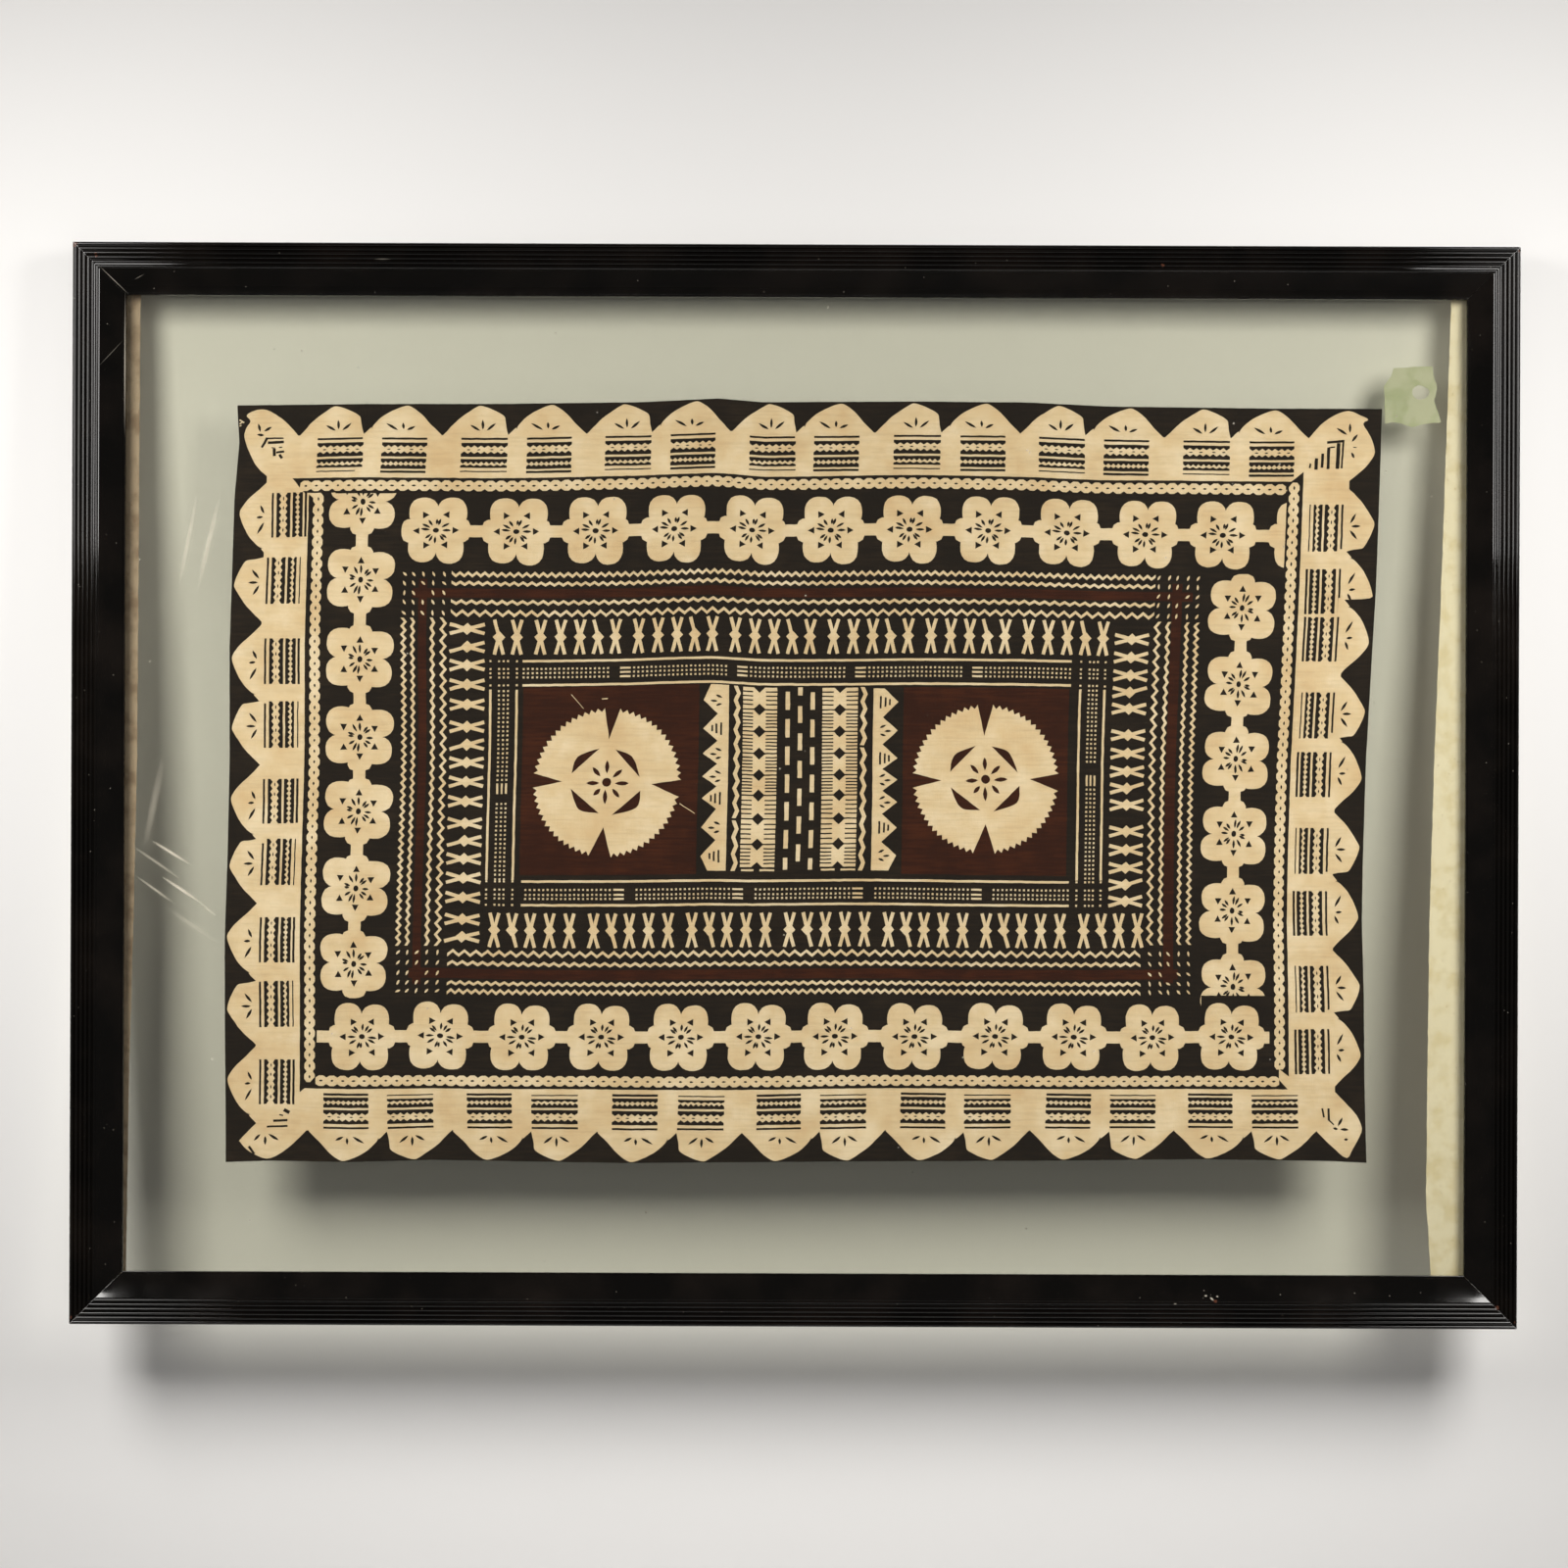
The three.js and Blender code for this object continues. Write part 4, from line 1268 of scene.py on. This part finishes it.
# Two soft boxes, ahead of the frame, above it and to its sides, are aimed past its middle. Broad lamps fill
# the shade from low in front and from behind, and nothing mirrors those two.
KEY_ASIDE = 1.08
KEY_AHEAD = 1.2
KEY_ABOVE = 0.64
KEY_AIM = 0.4
KEY_AIM_DROP = 0.15
KEY_SPREAD = 90
KEY_SIZE = (0.64, 0.85)
KEY_COLOUR = (1, 0.98, 0.95)
FILL_PLACE = (0, -2.5, -0.7)
FILL_SIZE = (2.2, 2.2)
REAR_PLACE = (0.8, 2.4, 0.9)
REAR_SIZE = (1.6, 1.6)
WHITE = (1, 1, 1)


def add_camera():
    """Face on, at the photograph's distance and framing."""
    camera = bpy.data.cameras.new("camera")
    camera.sensor_width = SENSOR_WIDTH
    camera.lens = SENSOR_WIDTH * CAMERA_DISTANCE / VIEW_WIDTH
    camera.clip_end = 50
    view = bpy.data.objects.new("camera", camera)
    middle = PHOTO_PIXELS / 2
    aside = (middle - FRAME_CENTRE_PIXEL[0]) * PHOTO_SCALE
    above = (FRAME_CENTRE_PIXEL[1] - middle) * PHOTO_SCALE
    view.location = (aside, -FRAME_DEPTH * MM - CAMERA_DISTANCE, FRAME_CENTRE * MM + above)
    view.rotation_euler = (math.pi / 2, math.radians(CAMERA_ROLL), 0)
    bpy.context.scene.collection.objects.link(view)
    bpy.context.scene.camera = view


def add_lamp(name, location, target, size, power, colour, spread=180, mirrored=True):
    """A soft lamp, so wide and high, that shines at a point and that glossy pieces mirror or not."""
    lamp = bpy.data.lights.new(name, "AREA")
    lamp.shape = "RECTANGLE"
    lamp.size, lamp.size_y = size
    lamp.energy = power
    lamp.color = colour
    lamp.spread = math.radians(spread)
    holder = bpy.data.objects.new(name, lamp)
    holder.location = location
    holder.rotation_euler = (Vector(target) - Vector(location)).to_track_quat("-Z", "Y").to_euler()
    holder.visible_glossy = mirrored
    bpy.context.scene.collection.objects.link(holder)


def add_plane(name, corners, material):
    """A flat piece of the stage."""
    bm = bmesh.new()
    bm.faces.new([bm.verts.new(corner) for corner in corners])
    mesh = bpy.data.meshes.new(name)
    bm.to_mesh(mesh)
    bm.free()
    mesh.materials.append(material)
    plane = bpy.data.objects.new(name, mesh)
    bpy.context.scene.collection.objects.link(plane)
    return plane


def backdrop_material(settings):
    """Pale matt board, seen and lit from its front alone, so that the back can be looked at too."""
    material, tree = new_material("pale_backdrop")
    board = add_node(tree, "BsdfDiffuse", {"Color": settings.backdrop}).outputs[0]
    nothing = add_node(tree, "BsdfTransparent").outputs[0]
    back = add_node(tree, "NewGeometry").outputs["Backfacing"]
    shadow = add_node(tree, "LightPath").outputs["Is Shadow Ray"]
    through = add_node(tree, "Math", {0: back, 1: shadow}, operation="MAXIMUM").outputs[0]
    shader = add_node(tree, "MixShader", {0: through, 1: board, 2: nothing})
    add_node(tree, "OutputMaterial", {"Surface": shader.outputs[0]})
    return material


def floor_material(settings):
    """Pale matt floor."""
    material, tree = new_material("pale_floor")
    shader = add_node(tree, "BsdfDiffuse", {"Color": settings.backdrop})
    add_node(tree, "OutputMaterial", {"Surface": shader.outputs[0]})
    return material


def studio_world(settings):
    """An even dim light all round, behind which the room looks pale."""
    world = bpy.data.worlds.new("studio")
    world.use_nodes = True
    tree = world.node_tree
    light = tree.nodes["Background"]
    light.inputs["Color"].default_value = (1, 1, 1, 1)
    seen = add_node(tree, "LightPath").outputs["Is Camera Ray"]
    inputs = {0: seen, "To Min": settings.fill_light, "To Max": settings.room}
    strength = add_node(tree, "MapRange", inputs).outputs[0]
    tree.links.new(strength, light.inputs["Strength"])
    return world


def add_stage_pieces(settings):
    """Backdrop, floor, lamps and the even light around them."""
    top, low = FRAME_TOP * MM, (FRAME_TOP - FRAME_HEIGHT) * MM
    near, far = BACKDROP_GAPS
    lean = (far - near) / (top - low)
    floor = low - FLOOR_DROP
    left, right = -STAGE_HALF_WIDTH, STAGE_HALF_WIDTH
    # The board leans back from its top to the floor.
    foot, head = near + lean * (top - floor), near + lean * (top - BACKDROP_TOP)
    lower = [(left, foot, floor), (right, foot, floor)]
    upper = [(right, head, BACKDROP_TOP), (left, head, BACKDROP_TOP)]
    front = [(left, -FLOOR_REACH, floor), (right, -FLOOR_REACH, floor)]
    add_plane("backdrop", lower + upper, backdrop_material(settings))
    add_plane("floor", front + lower[::-1], floor_material(settings))

    target = Vector((0, 0, FRAME_CENTRE * MM))
    for name, side in (("key_left", -1), ("key_right", 1)):
        place = target + Vector((side * KEY_ASIDE, -KEY_AHEAD, KEY_ABOVE))
        aim = target + Vector((side * KEY_AIM, 0, -KEY_AIM_DROP))
        add_lamp(name, place, aim, KEY_SIZE, settings.key_power, KEY_COLOUR, spread=KEY_SPREAD)
    low_front = target + Vector(FILL_PLACE)
    add_lamp("front_fill", low_front, target, FILL_SIZE, settings.fill_power, WHITE, mirrored=False)
    add_lamp("rear_fill", REAR_PLACE, target, REAR_SIZE, settings.rear_power, WHITE, mirrored=False)
    scene = bpy.context.scene
    scene.world = studio_world(settings)
    scene.view_settings.view_transform = "Standard"
    scene.view_settings.look = "None"


# The add-on's settings, operators and panel.


def colour_setting(name, description, hex_colour):
    """A colour property with its default."""
    return FloatVectorProperty(
        name=name, description=description, default=linear(hex_colour), size=4, min=0, max=1, subtype="COLOR"
    )


def number_setting(name, description, default, unit="NONE", top=100, low=0):
    """A number property with its default, in metres, watts or a plain strength."""
    return FloatProperty(name=name, description=description, default=default, min=low, max=top, unit=unit)


class BarkClothSettings(bpy.types.PropertyGroup):
    thickness: number_setting("Thickness", "Thickness of the beaten bark", 0.0005, "LENGTH", 0.0008, 0.0002)
    relief: number_setting("Relief", "Height of the sheet's gentle waves", 0.00028, "LENGTH", 0.0003)
    hand_wobble: number_setting("Hand wobble", "Unevenness of the hand-cut pattern", 0.0003, "LENGTH", 0.001)
    bark: colour_setting("Bark", "Natural bark", "#d0ba98")
    bark_light: colour_setting("Light bark", "Lightest patches of the bark", "#dac8ac")
    bark_dark: colour_setting("Dark bark", "Darkest patches of the bark", "#c8ad87")
    stain: colour_setting("Stain", "Old stains", "#9a6a44")
    black_paint: colour_setting("Black paint", "Soot paint", "#18120c")
    black_worn: colour_setting("Worn black paint", "Soot paint where it is thin", "#261d14")
    brown_paint: colour_setting("Brown dye", "Red-brown dye", "#2c1003")
    brown_worn: colour_setting("Worn brown dye", "Red-brown dye where it is thin", "#3f1b07")


class FrameSettings(bpy.types.PropertyGroup):
    lacquer: colour_setting("Lacquer", "Black lacquer", "#060504")
    lacquer_rubbed: colour_setting("Rubbed lacquer", "Lacquer where it is rubbed dull", "#120e0b")
    # The dust colour also paints the highlight down the upper left lip.
    dust: colour_setting("Dust", "Dust and fine scratches", "#c9c1b2")
    bare_wood: colour_setting("Bare wood", "Wood under the chipped lacquer", "#4a2c20")
    glass_tint: colour_setting("Glass tint", "Light left after one face of a pane", "#fbfbf8")
    paper: colour_setting("Cream paper", "Right paper strip", "#f0e6d2")
    paper_brown: colour_setting("Brown paper", "Left paper strip", "#ad9a89")
    paper_brown_dark: colour_setting("Dark brown paper", "Left paper strip where glue soaked in", "#8e7968")
    paper_dark: colour_setting("Foxed paper", "Paper where it has browned", "#e4d6b8")
    green_paper: colour_setting("Green paper", "Torn scrap", "#bfc1ac")
    green_paper_dark: colour_setting("Dark green paper", "Torn scrap where it is thicker", "#aeb598")
    stain: colour_setting("Stain", "Old glue", "#8a5a3a")


class StageSettings(bpy.types.PropertyGroup):
    backdrop: colour_setting("Backdrop", "Floor and backdrop", "#dddcdb")
    key_power: number_setting("Key lamps", "Power of each key lamp", 9, "POWER")
    fill_power: number_setting("Fill lamp", "Power of the front fill", 8, "POWER")
    rear_power: number_setting("Rear lamp", "Power of the rear lamp", 40, "POWER")
    fill_light: number_setting("Even light", "Strength of the even light", 0.06)
    room: number_setting("Room", "How light the room looks behind the stage", 0.6)


class BARKCLOTH_OT_camera(bpy.types.Operator):
    """Set the camera in front of the frame"""

    bl_idname = "bark_cloth.camera"
    bl_label = "Camera"

    def execute(self, context):
        add_camera()
        return {"FINISHED"}


class BARKCLOTH_OT_cloth(bpy.types.Operator):
    """Build the stencilled bark cloth"""

    bl_idname = "bark_cloth.cloth"
    bl_label = "Bark cloth"

    def execute(self, context):
        add_bark_cloth(context.scene.bark_cloth)
        return {"FINISHED"}


class BARKCLOTH_OT_rails(bpy.types.Operator):
    """Build the four reeded rails of the frame"""

    bl_idname = "bark_cloth.rails"
    bl_label = "Reeded rails"

    def execute(self, context):
        lacquer = lacquer_material(context.scene.bark_cloth_frame)
        for node in RAILS:
            add_rail(node, lacquer)
        return {"FINISHED"}


class BARKCLOTH_OT_panes(bpy.types.Operator):
    """Give the two panes their glass"""

    bl_idname = "bark_cloth.panes"
    bl_label = "Clear panes"

    def execute(self, context):
        fit_panes(context.scene.bark_cloth_frame)
        return {"FINISHED"}


class BARKCLOTH_OT_papers(bpy.types.Operator):
    """Build the paper strips and the torn scrap"""

    bl_idname = "bark_cloth.papers"
    bl_label = "Paper strips and scrap"

    def execute(self, context):
        add_papers(context.scene.bark_cloth_frame)
        return {"FINISHED"}


class BARKCLOTH_OT_stage(bpy.types.Operator):
    """Set up the backdrop, the floor and the lamps"""

    bl_idname = "bark_cloth.stage"
    bl_label = "Stage"

    def execute(self, context):
        add_stage_pieces(context.scene.bark_cloth_stage)
        return {"FINISHED"}


OPERATORS = (
    BARKCLOTH_OT_camera,
    BARKCLOTH_OT_cloth,
    BARKCLOTH_OT_rails,
    BARKCLOTH_OT_panes,
    BARKCLOTH_OT_papers,
    BARKCLOTH_OT_stage,
)


class BARKCLOTH_PT_panel(bpy.types.Panel):
    """Lists the pieces and their settings"""

    bl_idname = "BARKCLOTH_PT_panel"
    bl_label = "Framed bark cloth"
    bl_space_type = "VIEW_3D"
    bl_region_type = "UI"
    bl_category = "Bark cloth"

    def draw(self, context):
        for operator in OPERATORS:
            self.layout.operator(operator.bl_idname)
        scene = context.scene
        for group in (scene.bark_cloth, scene.bark_cloth_frame, scene.bark_cloth_stage):
            box = self.layout.box()
            for name in group.__annotations__:
                box.prop(group, name)


CLASSES = (BarkClothSettings, FrameSettings, StageSettings, *OPERATORS, BARKCLOTH_PT_panel)


def register():
    for cls in CLASSES:
        bpy.utils.register_class(cls)
    bpy.types.Scene.bark_cloth = PointerProperty(type=BarkClothSettings)
    bpy.types.Scene.bark_cloth_frame = PointerProperty(type=FrameSettings)
    bpy.types.Scene.bark_cloth_stage = PointerProperty(type=StageSettings)


def unregister():
    del bpy.types.Scene.bark_cloth
    del bpy.types.Scene.bark_cloth_frame
    del bpy.types.Scene.bark_cloth_stage
    for cls in reversed(CLASSES):
        bpy.utils.unregister_class(cls)


def main():
    register()
    noise.seed_set(NOISE_SEED)
    bpy.ops.bark_cloth.camera()
    bpy.ops.bark_cloth.cloth()
    bpy.ops.bark_cloth.rails()
    bpy.ops.bark_cloth.panes()
    bpy.ops.bark_cloth.papers()
    bpy.ops.bark_cloth.stage()


if __name__ == "__main__":
    main()
